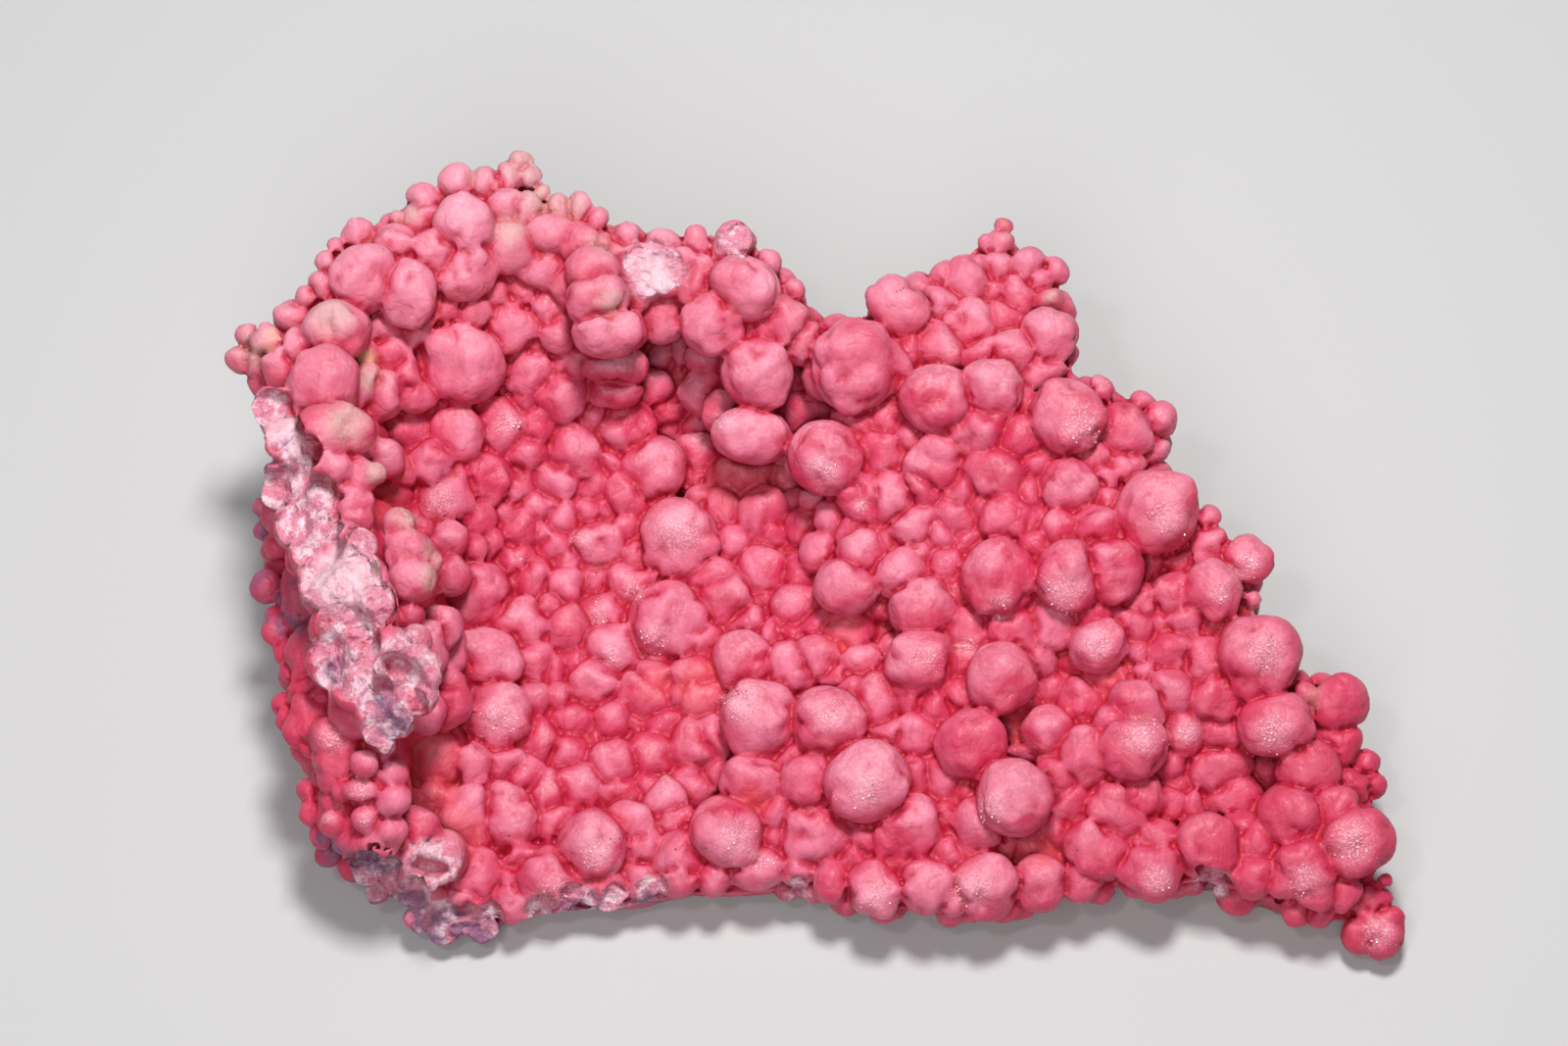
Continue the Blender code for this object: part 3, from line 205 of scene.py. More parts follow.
    (66.5, -44.7, 3, 0), (67, -49.3, 3.5, 0), (75, -48.2, 4.8, 1), (72, -50, 3, 1),
    (76.3, -51.5, 3.2, 1), (73.5, -54.4, 2.8, -1), (77, -55.2, 2.2, -1), (86, -57.2, 4.6, 0),
    (85, -53, 3.4, 0), (87, -50, 1.4, 0), (83.5, -58, 3.3, 0),
]

# Oval knobs: (across, up, half length, half width, turn, lift).
OVALS = [
    (-73.7, 34.2, 5.5, 4.8, 0, 1), (-68.4, 25.5, 3.8, 2, 90, 2), (-62.5, 39.9, 5.5, 4.2, 90, 1),
    (-54.2, 29, 7.5, 6.2, -20, 2), (-46.5, 34.8, 4.6, 3.6, 0, 0), (-42, 43.8, 3.4, 3, 0, 1),
    (-32, 34.2, 5.6, 4, 0, 2), (-30.4, 28.7, 4.8, 3, 0, 1), (-30.8, 24.6, 4.2, 2.1, 0, 0),
    (-23.4, 47.6, 3, 2.3, 0, 0), (-18.5, 41.3, 4, 1.6, 90, 0), (-17, 24.9, 3.8, 2.7, 90, 1),
    (5.8, 29, 7.6, 7.2, 90, 2), (12.5, 37.4, 5.4, 4.6, -35, 1), (34.9, 27.1, 4.6, 2.6, 0, 0),
    (-45.8, -1, 3.6, 3, 0, 1), (-11, 11.3, 5, 3, 0, 0), (-10, 18, 6.6, 4.1, -8, 3),
    (-33, 1.6, 4.5, 3.4, 0, 1), (-32, -9.2, 3.5, 2.8, 0, 0), (-38, -12, 3.6, 2.9, 90, 0),
    (-9.7, -35, 4.8, 3.9, 0, 1), (-13.7, -42.5, 6.1, 5.2, -20, 2), (-46.8, -40.2, 6.2, 4.6, 112, 1),
    (-9, -48.2, 4.6, 3.4, 12, 0), (27.5, 12, 4.4, 3.8, 0, 0), (38.8, 10, 5.3, 3.8, -8, 0),
    (4.8, -5, 4.7, 3.9, -12, 1), (43.5, -14, 4.4, 3.8, 15, 1), (0, -43, 5.6, 4.6, -15, 0),
    (70.5, -26, 6, 4.7, 10, 1), (61, -32.5, 4.9, 3.6, 0, 0), (63.5, -37.5, 5, 3, 5, 0),
    (43, -45, 5.2, 4.6, -35, 0),
]

# Knobs of the wall along the left, which curls up and over the hollow face:
# (across, up, radius, depth).
WALL = [
    (-83, 22.5, 3.3, 15), (-80, 18.5, 3, 16), (-76, 18, 5, 18), (-72, 19, 4.5, 17),
    (-69.8, 18.5, 3, 15), (-74.5, 13.5, 3.5, 18), (-70, 11.8, 3, 16), (-67.6, 12.3, 1.9, 17),
    (-71, 8, 3.4, 16), (-70.5, 5.5, 2.8, 16), (-82.9, 12.5, 1.8, 10), (-79.5, 11.3, 2.4, 13),
    (-82.3, 9, 2.5, 12), (-77, 8.3, 3.3, 19), (-80, 4, 2, 14), (-77, 3, 3, 18), (-72.5, 2.5, 3, 21),
    (-69.8, 1.5, 2.8, 21), (-78.5, -1, 2.8, 13), (-74.5, -3.5, 4.2, 23), (-70, -4, 4.5, 25),
    (-67.5, -8, 3.5, 27), (-71.5, -10.5, 4, 22), (-64, 4.5, 2.8, 18), (-60.2, 4, 2, 16),
    (-62.5, 0.5, 4, 18), (-58.8, -1.2, 1.9, 17), (-62, -3.7, 4, 18), (-62.5, -9.3, 2.7, 16),
    (-57.5, -11.3, 3.9, 8), (-61.2, -13, 2.5, 22), (-66.5, -13.5, 3.2, 26), (-70, -16, 4.2, 22),
    (-60.5, -22, 2.6, 24), (-64.5, -23.8, 3, 24), (-67.3, -27.2, 2.3, 20), (-63.5, -26, 2, 20),
    (-66, -29, 1.6, 18),
]

# The wall's solid middle, which its break lays open: (across, up, radius, depth).
WALL_MIDDLE = [
    (-82, 21, 3.6, 14), (-80, 17, 4.2, 15), (-80.5, 10.5, 4.4, 12), (-77, 9, 5.2, 16),
    (-78, 4.5, 5.2, 15), (-75.5, 0.5, 5.4, 18), (-73, -4, 6.6, 21), (-69, -7.5, 5, 24),
    (-72.5, -11.5, 5.2, 20), (-74, -16.5, 4.2, 17), (-70.5, -15, 5, 20), (-69.5, -20, 5, 20),
    (-66, -24, 4.8, 21), (-76, 14, 4.8, 15),
]

# Knobs of the wall's outer side, down to the lower left corner.
WALL_OUTSIDE = [
    (-84.6, 7, 1.6, -2), (-84.4, 3.5, 1.7, -2), (-83, 0.5, 2, -1), (-84, -5, 2.7, 0),
    (-80.7, -7.3, 2, 1), (-79, -9, 2, 3), (-77.4, -9.2, 1.8, 4), (-82.3, -12, 2.6, 2),
    (-82.5, -9.8, 1.9, 1), (-81, -15, 2.2, 3), (-75.5, -13.5, 1.8, 9), (-80, -17.5, 2.3, 5),
    (-77, -18, 2.1, 7), (-75.2, -19.5, 2.1, 9), (-81.4, -23, 2.1, 5), (-80.8, -25.3, 2, 6),
    (-78.5, -22, 2.6, 7), (-76, -22.5, 2.4, 9), (-72.8, -23.5, 2.4, 12), (-79, -27, 2.9, 8),
    (-74.3, -28, 3.6, 12), (-77, -29.5, 2, 8), (-69.2, -32, 2.5, 15), (-73.7, -32.3, 1.9, 12),
    (-72.5, -36, 1.9, 12), (-70.5, -36, 2, 13), (-68.6, -36, 1.9, 13), (-77.7, -36, 2, 5),
    (-77.2, -39.5, 2.2, 5), (-74, -41, 2.2, 9), (-69, -40.5, 2.4, 11), (-65.3, -33.5, 3, 12),
    (-64.8, -37.5, 3, 12), (-65, -42, 2.6, 10), (-75.3, -34, 2, 7), (-75.5, -43, 2.2, 3),
    (-71.5, -43.5, 2.8, 5), (-66, -45.5, 2.6, 4), (-68.5, -48.5, 2.6, -2), (-67, -51.5, 2.2, -4),
    (-62.5, -51.5, 2.4, -3), (-61, -56, 2.2, -5), (-57, -57.3, 2.6, -6), (-51, -57.2, 2.6, -6),
    (-54.3, -56.5, 2, -5), (-74.5, -45.5, 2.4, -2), (-80.8, 5.5, 4, -3), (-80, 0.5, 4, -3),
    (-80, -5, 3.8, -3), (-79, -11, 3.8, -1),
]

# Knobs that are broken open, as rings: (across, up, half length, half width, turn, depth, lip).
BROKEN_RINGS = [
    (-63.5, -18, 5.2, 3.6, -35, 26, 1.7), (-59.2, -47.6, 3.9, 2.4, -8, 4, 1.5),
]

# The hollows inside them: (across, up, half length, half width, turn, floor).
HOLLOWS = [
    (-63.5, -18, 4.6, 2.9, -35, 23.5), (-59.2, -48, 3.5, 1.7, -8, 1.2),
]

# Places where the crust is snapped: (across, up, reach, depth left, slope across, slope up).
BREAKS = [
    (-83.5, 22.5, 2.8, 14.5, -0.4, 0.2), (-82, 19, 2.6, 15, -0.5, 0.2),
    (-79, 15.5, 2.6, 15.5, -0.6, 0.2), (-83, 10, 2.8, 11.5, -0.2, 0.1),
    (-80, 11, 2.8, 13, -0.3, 0.1), (-77, 9, 3.4, 17.5, -0.3, 0), (-79.5, 4.5, 3, 15, -0.4, 0),
    (-76.3, 4, 3.2, 18.5, -0.2, 0), (-76.5, 0.5, 3, 18.5, -0.3, 0), (-70, 1.5, 2.6, 22, 0.2, 0.1),
    (-72.5, -3.8, 5.5, 24, -0.35, -0.1), (-68, -7, 3.2, 25.5, -0.2, 0),
    (-72, -10.5, 3.6, 21.5, -0.3, 0.1), (-74.5, -15, 3, 18.5, -0.4, 0),
    (-70.5, -14.5, 3.2, 22, -0.2, 0), (-75, -18.5, 2.2, 17, -0.4, 0), (-71, -19, 3, 21, -0.3, 0),
    (-67.5, -22, 3, 22.5, -0.2, 0.1), (-64, -23.5, 3.6, 23.5, 0.1, 0.3),
    (-67.3, -27.5, 2.8, 20, -0.3, 0.3), (-24.6, 43.6, 4.2, 6.2, 0.1, 0.15),
    (-12, 48, 2.4, 6.5, 0, -0.2), (-68, -48.8, 3.8, -0.5, -0.2, 0.45),
    (-62.3, -52, 2.8, -2, 0.1, 0.45), (-58, -57, 3.4, -4.2, 0.1, 0.45),
    (-51, -56.8, 3.2, -4.4, -0.2, 0.4), (-36, -54.6, 3.6, -3.4, 0.05, 0.55),
    (-25, -51.8, 2.2, -3, 0.05, 0.55), (-41.5, -54.8, 2.4, -3.2, 0.05, 0.55),
    (-30.5, -53.4, 2.4, -3.3, 0.05, 0.55), (-3, -51.4, 1.8, -2.4, 0, 0.55),
    (60.5, -50.4, 2.2, -1, 0, 0.5),
]

# Places frosted with fine crystals: (across, up, reach, number of those that stand out).
GLINT_SPOTS = [
    (-20.7, 3, 5.5, 60), (-28, -5.5, 3, 40), (-25, -13, 4, 70), (8, -36, 5.5, 90),
    (-48.5, -24.5, 5, 50), (28, -8, 3, 20), (23, -14, 2.5, 25), (17, -15.5, 3, 30),
    (7, 7.5, 1.5, 18), (-45.6, -0.8, 1.8, 14), (-35.6, 2, 2.2, 22), (-33, -9, 2.6, 26),
    (-31, -15, 3, 30), (-11, -23, 5, 60), (-47, 20, 3.2, 50), (-8, -47, 3, 24), (-34, -46, 4.5, 40),
    (-12, -43, 4.5, 40), (-40, -52, 4.5, 36), (27, -39, 4, 40), (9, -53, 4, 36), (24, -51, 5, 30),
    (38, -6, 5, 30), (54, 5, 5, 46), (66, -2, 3.5, 30), (69, -15, 5, 46), (62, -6, 3, 20),
    (70, -28, 5, 60), (82, -44, 5.5, 60), (50, -28, 5, 46), (41, 20, 5, 46), (57, -27, 3, 16),
    (86, -58, 4, 26), (75, -50, 4.5, 30), (1, 13, 4, 16), (-14, 20, 2.5, 40), (2, -25, 4, 20),
    (43, -14, 3.5, 24), (52, -50, 4, 16), (-70, -36, 3, 20), (-74, -27.5, 3.5, 16),
    (-69, -40, 2, 18), (-74.5, -40.5, 1.8, 14), (-57, 8, 4, 12),
]

DIRECTIONS = [math.tau * step / 48 for step in range(48)]


def clamped(value, high=1.0):
    """The value, but not below 0 and not above high."""
    return min(high, max(0.0, value))


def crust_depth(across, up):
    """How far the crust stands towards the viewer here, blended from the nearest of DEPTHS."""
    total = 0.0
    weights = 0.0
    for near_across, near_up, depth in DEPTHS:
        gap = (across - near_across) ** 2 + (up - near_up) ** 2
        weight = 1.0 / (gap + 6.0) ** 2
        total += weight * depth
        weights += weight
    return total / weights


def raised(lift, radius):
    """How far the middle of a knob stands out from the crust's own depth."""
    return KNOB_OUT + LIFT_STEP * lift + LARGE_KNOB_LIFT * (radius - USUAL_RADIUS)


def shrink(depth, up):
    """What a length seen at this depth measures, nearer things having looked larger."""
    return 1.0 - (depth - FACE_SLOPE * up) / SIGHT_DISTANCE


def place(across, up, depth):
    """The point in metres of one that is given as it is seen."""
    scale = shrink(depth, up)
    forward = depth - FACE_SLOPE * up
    y = up * scale * math.cos(FACE_TILT) - forward * math.sin(FACE_TILT)
    z = up * scale * math.sin(FACE_TILT) + forward * math.cos(FACE_TILT) + FACE_HEIGHT
    return Vector((across * scale, y, z)) / 1000


def as_seen(points):
    """The reverse of place, for a whole array: across, up and depth in millimetres."""
    x = points[:, 0] * 1000
    y = points[:, 1] * 1000
    z = points[:, 2] * 1000 - FACE_HEIGHT
    forward = z * math.cos(FACE_TILT) - y * math.sin(FACE_TILT)
    scale = 1.0 - forward / SIGHT_DISTANCE
    up = (y * math.cos(FACE_TILT) + z * math.sin(FACE_TILT)) / scale
    return np.stack([x / scale, up, forward + FACE_SLOPE * up], axis=1)


def vectors_of(items, what):
    """One vector of every point of a mesh, such as its place or its normal, as an array."""
    values = np.empty(len(items) * 3, np.float32)
    items.foreach_get(what, values)
    return values.reshape(-1, 3).astype(np.float64)


def mesh_of(name, shape):
    """The mesh of a finished bmesh."""
    mesh = bpy.data.meshes.new(name)
    shape.to_mesh(mesh)
    shape.free()
    return mesh


def object_of(data):
    """An object in the scene made of this mesh, lamp or camera, under the same name."""
    made = bpy.data.objects.new(data.name, data)
    bpy.context.scene.collection.objects.link(made)
    return made


def round_form(level):
    """A ball of radius one as a bare mesh and its points."""
    ball_bm = bmesh.new()
    bmesh.ops.create_icosphere(ball_bm, subdivisions=level, radius=1.0)
    ball = mesh_of("ball", ball_bm)
    return ball, vectors_of(ball.vertices, "co").astype(np.float32)


coarse_ball = round_form(3)
fine_ball = round_form(4)
lumps = bmesh.new()
chance = random.Random(11)
form_chance = np.random.default_rng(5)


def inside_by(across, up):
    """How far inside the body's edge a point lies, as seen; below 0 outside it."""
    inside = False
    nearest = 99.0
    for here, after in zip(BODY_EDGE, BODY_EDGE[1:] + BODY_EDGE[:1]):
        run, climb = after[0] - here[0], after[1] - here[1]
        share = ((across - here[0]) * run + (up - here[1]) * climb) / (run * run + climb * climb)
        share = clamped(share)
        away = math.hypot(across - here[0] - share * run, up - here[1] - share * climb)
        nearest = min(nearest, away)
        if (here[1] > up) != (after[1] > up) and across < here[0] + run * (up - here[1]) / climb:
            inside = not inside
    return nearest if inside else -nearest


def half_span(knob, angle):
    """How far a knob reaches from its middle in this direction, as measured."""
    along = math.cos(angle - knob["turn"]) / knob["long"]
    beside = math.sin(angle - knob["turn"]) / knob["short"]
    return 1.0 / math.hypot(along, beside)


def grown_spans(knob, others):
    """How far a knob grew in every direction before it met its neighbours or the open gap."""
    meetings = []
    for other in others:
        beside = other["across"] - knob["across"]
        above = other["up"] - knob["up"]
        gap = math.hypot(beside, above)
        if other is knob or gap > knob["long"] + other["long"] + 3.0 or gap < 0.5:
            continue
        toward = math.atan2(above, beside)
        mine = half_span(knob, toward)
        theirs = half_span(other, toward + math.pi)
        line = (gap * gap + mine * mine - theirs * theirs) / (2.0 * gap)
        meetings.append((toward, line, knob["top"] > other["top"] + STANDS_OVER))
    spans = []
    for direction in DIRECTIONS:
        own = half_span(knob, direction)
        growth = knob["growth"] * (1.0 - 0.25 * clamped(knob["long"] - 3.5, 2.5))
        if knob["near_edge"]:
            reach_across = knob["across"] + own * math.cos(direction)
            reach_up = knob["up"] + own * math.sin(direction)
            growth *= clamped((inside_by(reach_across, reach_up) + 1.2) / 2.2)
        crowding = (own + MOST_GROWTH * growth) ** -MEETING
        for toward, line, stands_over in meetings:
            facing = math.cos(direction - toward)
            if facing > 0.05:
                limit = line / facing
                if stands_over:
                    limit = max(limit, own)
                crowding += max(limit, 0.6 * own) ** -MEETING
        spans.append(crowding ** (-1.0 / MEETING) * (1.0 + 0.25 * growth))
    return spans


def chance_directions(number):
    """So many directions by chance, each of length one."""
    directions = form_chance.normal(size=(number, 3))
    return directions / np.linalg.norm(directions, axis=1)[:, None]


def add_form(matrix, fine, spans=None, height=1.0, foot=0.0, lobe=None):
    """A knob or a lobe of one, with slightly flattened sides that meet in soft ridges."""
    ball, points = fine_ball if fine else coarse_ball
    flats = chance_directions(9)
    heights = form_chance.uniform(0.88, 1.0, size=9)
    swells = chance_directions(4)
    bulge = 1.0 + 0.06 * np.exp(-(1.0 - points @ swells.T) * 4.0).sum(axis=1)
    pressed = np.maximum(bulge[:, None] * (points @ flats.T) / heights, 0.0) ** RIDGES
    formed = points * (bulge ** -RIDGES + pressed.sum(axis=1))[:, None] ** (-1.0 / RIDGES)
    if lobe:
        size, middle = lobe
        formed = formed * size + np.array(middle)
    if foot > 0.0:
        down = np.maximum(-points[:, 2], 0.0)
        flat = np.maximum(np.hypot(points[:, 0], points[:, 1]), 0.0001)
        wide = np.minimum((1.0 - down) / 0.3, 1.0) / flat
        below = -np.minimum(down / 0.7, 1.0) * foot
        drawn = np.stack([points[:, 0] * wide, points[:, 1] * wide, below], axis=1)
        upper = np.clip(points[:, 2] / 0.5, 0.0, 1.0)[:, None]
        formed = np.where(points[:, 2:] < 0.0, drawn, points + (formed - points) * upper)
    if spans:
        angle = np.arctan2(formed[:, 1], formed[:, 0])
        formed[:, 0:2] *= np.interp(angle, DIRECTIONS, spans, period=math.tau)[:, None]
        formed[:, 2] *= height
    shaped = ball.copy()
    shaped.vertices.foreach_set("co", formed.astype(np.float32).ravel())
    shaped.transform(matrix)
    lumps.from_mesh(shaped)
    bpy.data.meshes.remove(shaped)


def knob_at(across, up, long_radius, short_radius, turn, depth, out=0.0):
    """What is known of one knob, with how far its foot goes down and how far it may grow."""
    within = inside_by(across, up)
    middling = math.sqrt(long_radius * short_radius)
    flatter = 1.0 - LARGE_KNOB_FLATNESS * max(0.0, middling - USUAL_RADIUS)
    height = middling * KNOB_HEIGHT * flatter
    return {
        "across": across,
        "up": up,
        "long": long_radius,
        "short": short_radius,
        "turn": math.radians(turn),
        "depth": depth,
        "height": height,
        "top": depth + height,
        "foot": (out + CRUST_BELOW_KNOBS + 1.4) / height if within > 1.0 else 0.0,
        "growth": clamped((within + 5.0) / 6.0),
        "near_edge": within < 12.0,
    }


def add_knob(knob, spans, lobes=0):
    """A knob at its place with lobes on it, spans being its reach in each of DIRECTIONS."""
    scale = shrink(knob["depth"], knob["up"]) / 1000
    tilt = Matrix.Rotation(FACE_TILT, 4, "X")
    middle = Matrix.Translation(place(knob["across"], knob["up"], knob["depth"]))
    whole = middle @ tilt @ Matrix.Scale(scale, 4)
    fine = knob["long"] > USUAL_RADIUS
    add_form(whole, fine, spans, knob["height"], knob["foot"])
    for lobe in range(lobes):
        around = math.tau * (lobe + chance.random()) / lobes
        lobe_size = chance.uniform(0.42, 0.60)
        reach = chance.uniform(1.06, 1.17) - lobe_size
        rise = chance.uniform(0.35, 1.25)
        level = reach * math.cos(rise)
        lobe_middle = (level * math.cos(around), level * math.sin(around), reach * math.sin(rise))
        add_form(whole, fine, spans, knob["height"], 0.0, (lobe_size, lobe_middle))


def add_free_knob(across, up, radius, depth, lobes=0):
    """A round knob that hasn't met any other and has no foot."""
    knob = knob_at(across, up, radius, radius, 0, depth)
    knob["foot"] = 0.0
    add_knob(knob, [radius] * len(DIRECTIONS), lobes)


def lobes_of(radius):
    """How many lobes a knob of this size has grown."""
    if radius < 2.8:
        return 0
    if radius < 4.0:
        return chance.choice((0, 2, 3, 4, 5))
    return chance.choice((5, 6, 7, 8))


# The solid body behind the knobs: its edge set a little outwards, its surface, sides that draw
# in, and a foot below the floor.
BODY_GRID = 3
SIDE_RINGS = 9
LOWEST = -0.004
noise.seed_set(7)
spine = Vector((-0.004, -0.006, 0.0))
wider_edge = []
for before, here, after in zip(
    BODY_EDGE[-1:] + BODY_EDGE[:-1], BODY_EDGE, BODY_EDGE[1:] + BODY_EDGE[:1]
):
    run, climb = after[0] - before[0], after[1] - before[1]
    out_by = EDGE_SPREAD / math.hypot(run, climb)
    wider_edge.append((here[0] - climb * out_by, here[1] + run * out_by))
top = []
for across, up in wider_edge:
    top.append(place(across, up, crust_depth(across, up) - 0.6 * CRUST_BELOW_KNOBS))
grid_points = []
for across in range(-88, 92, BODY_GRID):
    for up in range(-60, 62, BODY_GRID):
        grid_points.append(Vector((across, up)))
count = len(wider_edge)
edge_points = [Vector(point) for point in wider_edge]
triangulation = delaunay_2d_cdt(
    edge_points + grid_points, [], [list(range(count - 1, -1, -1))], 1, 0.01
)
flat_points, _, flat_faces, origins, _, _ = triangulation
body = bmesh.new()
surface = []
for flat, origin in zip(flat_points, origins):
    if origin and origin[0] < count:
        surface.append(body.verts.new(top[origin[0]]))
    else:
        flat_depth = crust_depth(flat.x, flat.y) - CRUST_BELOW_KNOBS
        surface.append(body.verts.new(place(flat.x, flat.y, flat_depth)))
for corners in flat_faces:
    body.faces.new([surface[corner] for corner in corners])


def side_column(corner):
    """The points down the side of the body below a corner of its edge, drawn in and rough."""
    column = [corner]
    for ring in range(1, SIDE_RINGS + 1):
        share = ring / SIDE_RINGS
        point = spine + (corner.co - spine) * (1.0 - (1.0 - FOOT_SHARE) * share)
        point.z = corner.co.z + (LOWEST - corner.co.z) * share
        rough = noise.noise_vector(point * 55.0) * 0.0030
        rough = rough + noise.noise_vector(point * 190.0) * 0.0016
        point.x += rough.x * min(1.0, 3.0 * share)
        point.y += rough.y * min(1.0, 3.0 * share)
        column.append(point)
    return column


for side in body.edges[:]:
    if not side.is_boundary:
        continue
    left, right = [side_column(corner) for corner in side.verts]
    for ring in range(SIDE_RINGS):
        quad = []
        for point in (left[ring], right[ring], right[ring + 1], left[ring + 1]):
            quad.append(point if isinstance(point, bmesh.types.BMVert) else body.verts.new(point))
        body.faces.new(quad)
bmesh.ops.remove_doubles(body, verts=body.verts[:], dist=0.00001)
open_rim = [edge for edge in body.edges if edge.is_boundary]
bmesh.ops.holes_fill(body, edges=open_rim, sides=0)
bmesh.ops.recalc_face_normals(body, faces=body.faces[:])
lumps.from_mesh(mesh_of("body", body))

# The measured knobs, then others wherever room is left between them, widest gap first.
SPOT_GRID = 0.8
LEAST_ROOM = 0.7
knobs = []
ovals = [(across, up, radius, radius, 0, lift) for across, up, radius, lift in KNOBS] + OVALS
for across, up, long_radius, short_radius, turn, lift in ovals:
    out = raised(lift, long_radius)
    depth = crust_depth(across, up) + out
    knobs.append(knob_at(across, up, long_radius, short_radius, turn, depth, out))
open_spots = []
for row in range(-72, 75):
    for column in range(-110, 113):
        if inside_by(SPOT_GRID * column, SPOT_GRID * row) > 1.6:
            open_spots.append((SPOT_GRID * column, SPOT_GRID * row))
open_spots = np.array(open_spots)
room = np.full(len(open_spots), 9.0)
taken = [(knob["across"], knob["up"], knob["long"]) for knob in knobs]
for across, up, radius in taken + [wall_knob[:3] for wall_knob in WALL]:
    away = np.hypot(open_spots[:, 0] - across, open_spots[:, 1] - up)
    room = np.minimum(room, away - radius)
while room.max() > LEAST_ROOM:
    widest = int(room.argmax())
    across, up = open_spots[widest]
    radius = min(room[widest] + 1.3, 3.8)
    depth = crust_depth(across, up) + 0.4 + 0.3 * (radius - 2.0)
    knobs.append(knob_at(across, up, radius, radius, 0, depth))
    away = np.hypot(open_spots[:, 0] - across, open_spots[:, 1] - up)
    room = np.minimum(room, away - radius)
for knob in knobs:
    add_knob(knob, grown_spans(knob, knobs), lobes_of(knob["long"]))

# The wall's knobs, and the lips of the knobs that are broken open.
for across, up, radius, depth in WALL + WALL_MIDDLE + WALL_OUTSIDE:
    add_free_knob(across, up, radius, depth, lobes_of(radius))
for ring_across, ring_up, half_length, half_width, turn, ring_depth, lip in BROKEN_RINGS:
    lean = math.radians(turn)
    for step in range(12):
        along = half_length * math.cos(math.tau * step / 12)
        beside = half_width * math.sin(math.tau * step / 12)
        across = ring_across + along * math.cos(lean) - beside * math.sin(lean)
        across = across + chance.uniform(-0.5, 0.5)
        up = ring_up + along * math.sin(lean) + beside * math.cos(lean) + chance.uniform(-0.5, 0.5)
        width = lip * chance.uniform(0.75, 1.25)
        add_free_knob(across, up, width, ring_depth + chance.uniform(-1.3, 0.8))

# Small knobs down the upper part of the sides.
SIDE_STEP = 0.0034
side_chance = random.Random(11)
for here, after in zip(top, top[1:] + top[:1]):
    steps = max(1, round((after - here).length / SIDE_STEP))
    for step in range(steps):
        rim_point = here.lerp(after, (step + side_chance.random()) / steps)
        for row in range(1, 4):
            down = row * SIDE_STEP + side_chance.uniform(-0.0017, 0.0017)
            if rim_point.z - down < 0.0055 or down > 0.55 * rim_point.z:
                break
            share = down / (rim_point.z - LOWEST)
            centre = spine + (rim_point - spine) * (1.0 - (1.0 - FOOT_SHARE) * share)
            centre.z = rim_point.z - down
            side_radius = side_chance.uniform(0.0015, SIDE_STEP)
            add_form(Matrix.Translation(centre) @ Matrix.Scale(side_radius, 4), False)


def with_modifiers(thing):
    """The mesh of an object as its modifiers leave it."""
    graph = bpy.context.evaluated_depsgraph_get()
    return bpy.data.meshes.new_from_object(thing.evaluated_get(graph))


# All of it fused into one skin.
lump_object = object_of(mesh_of("lumps", lumps))
fuse = lump_object.modifiers.new("fuse", "REMESH")
fuse.mode = "VOXEL"
fuse.voxel_size = GRAIN
fused_mesh = with_modifiers(lump_object)


def chance_cell(cell):
    """Which of 4096 chance values belongs to this cell of space."""
    mix = cell[:, 0] * 7919 + cell[:, 1] * 104729 + cell[:, 2] * 1299709
    return (mix ^ (mix >> 7)) % 4096


def cells(points, size):
    """The cell of this size that each point is in, and the point in cells."""
    at = points / size + 1000.0
    return np.floor(at).astype(np.int64), at


def swell(points, size, seed):
    """Smooth chance values from -1 to 1 over space, with lumps of about this size in metres."""
    table = np.random.default_rng(seed).uniform(-1.0, 1.0, size=4096)
    corner, at = cells(points, size)
    part = at - corner
    part = part * part * (3.0 - 2.0 * part)
    total = np.zeros(len(points))
    for step in product((0, 1), repeat=3):
        weight = np.where(step, part, 1 - part)
        weight = weight[:, 0] * weight[:, 1] * weight[:, 2]
        total += weight * table[chance_cell(corner + np.array(step))]
    return total


def domes(points, size, seed):
    """Small domes grown side by side: near 1 on their tops, low in the grooves."""
    offsets = np.random.default_rng(seed).uniform(0.0, 1.0, size=(4096, 3))
    corner, at = cells(points, size)
    nearest = np.full(len(points), 9.0)
    for step in product((-1, 0, 1), repeat=3):
        cell = corner + np.array(step)
        middle = cell + offsets[chance_cell(cell)]
        nearest = np.minimum(nearest, ((at - middle) ** 2).sum(axis=1))
    return 1.0 - nearest


def ease(values, low, high):
    """0 below low, 1 above high, and smooth between."""
    share = np.clip((values - low) / (high - low), 0.0, 1.0)
    return share * share * (3.0 - 2.0 * share)


def joined_by(mesh):
    """The two ends of every edge, and how many edges meet at each point."""
    ends = np.empty(len(mesh.edges) * 2, np.int32)
    mesh.edges.foreach_get("vertices", ends)
    return ends.reshape(-1, 2), np.bincount(ends, minlength=len(mesh.vertices)).astype(np.float64)


def averaged(values, links, times):
    """Values spread over their neighbours along the edges."""
    ends, partners = links
    for _ in range(times):
        total = np.bincount(ends[:, 0], weights=values[ends[:, 1]], minlength=len(values))
        total += np.bincount(ends[:, 1], weights=values[ends[:, 0]], minlength=len(values))
        values = 0.5 * values + 0.5 * total / partners
    return values


def sunk_below(points, normals, links, times):
    """How far each point lies below the skin smoothed so many times, in millimetres."""
    smooth = np.stack([averaged(points[:, axis], links, times) for axis in range(3)], axis=1)
    return ((smooth - points) * normals).sum(axis=1) * 1000


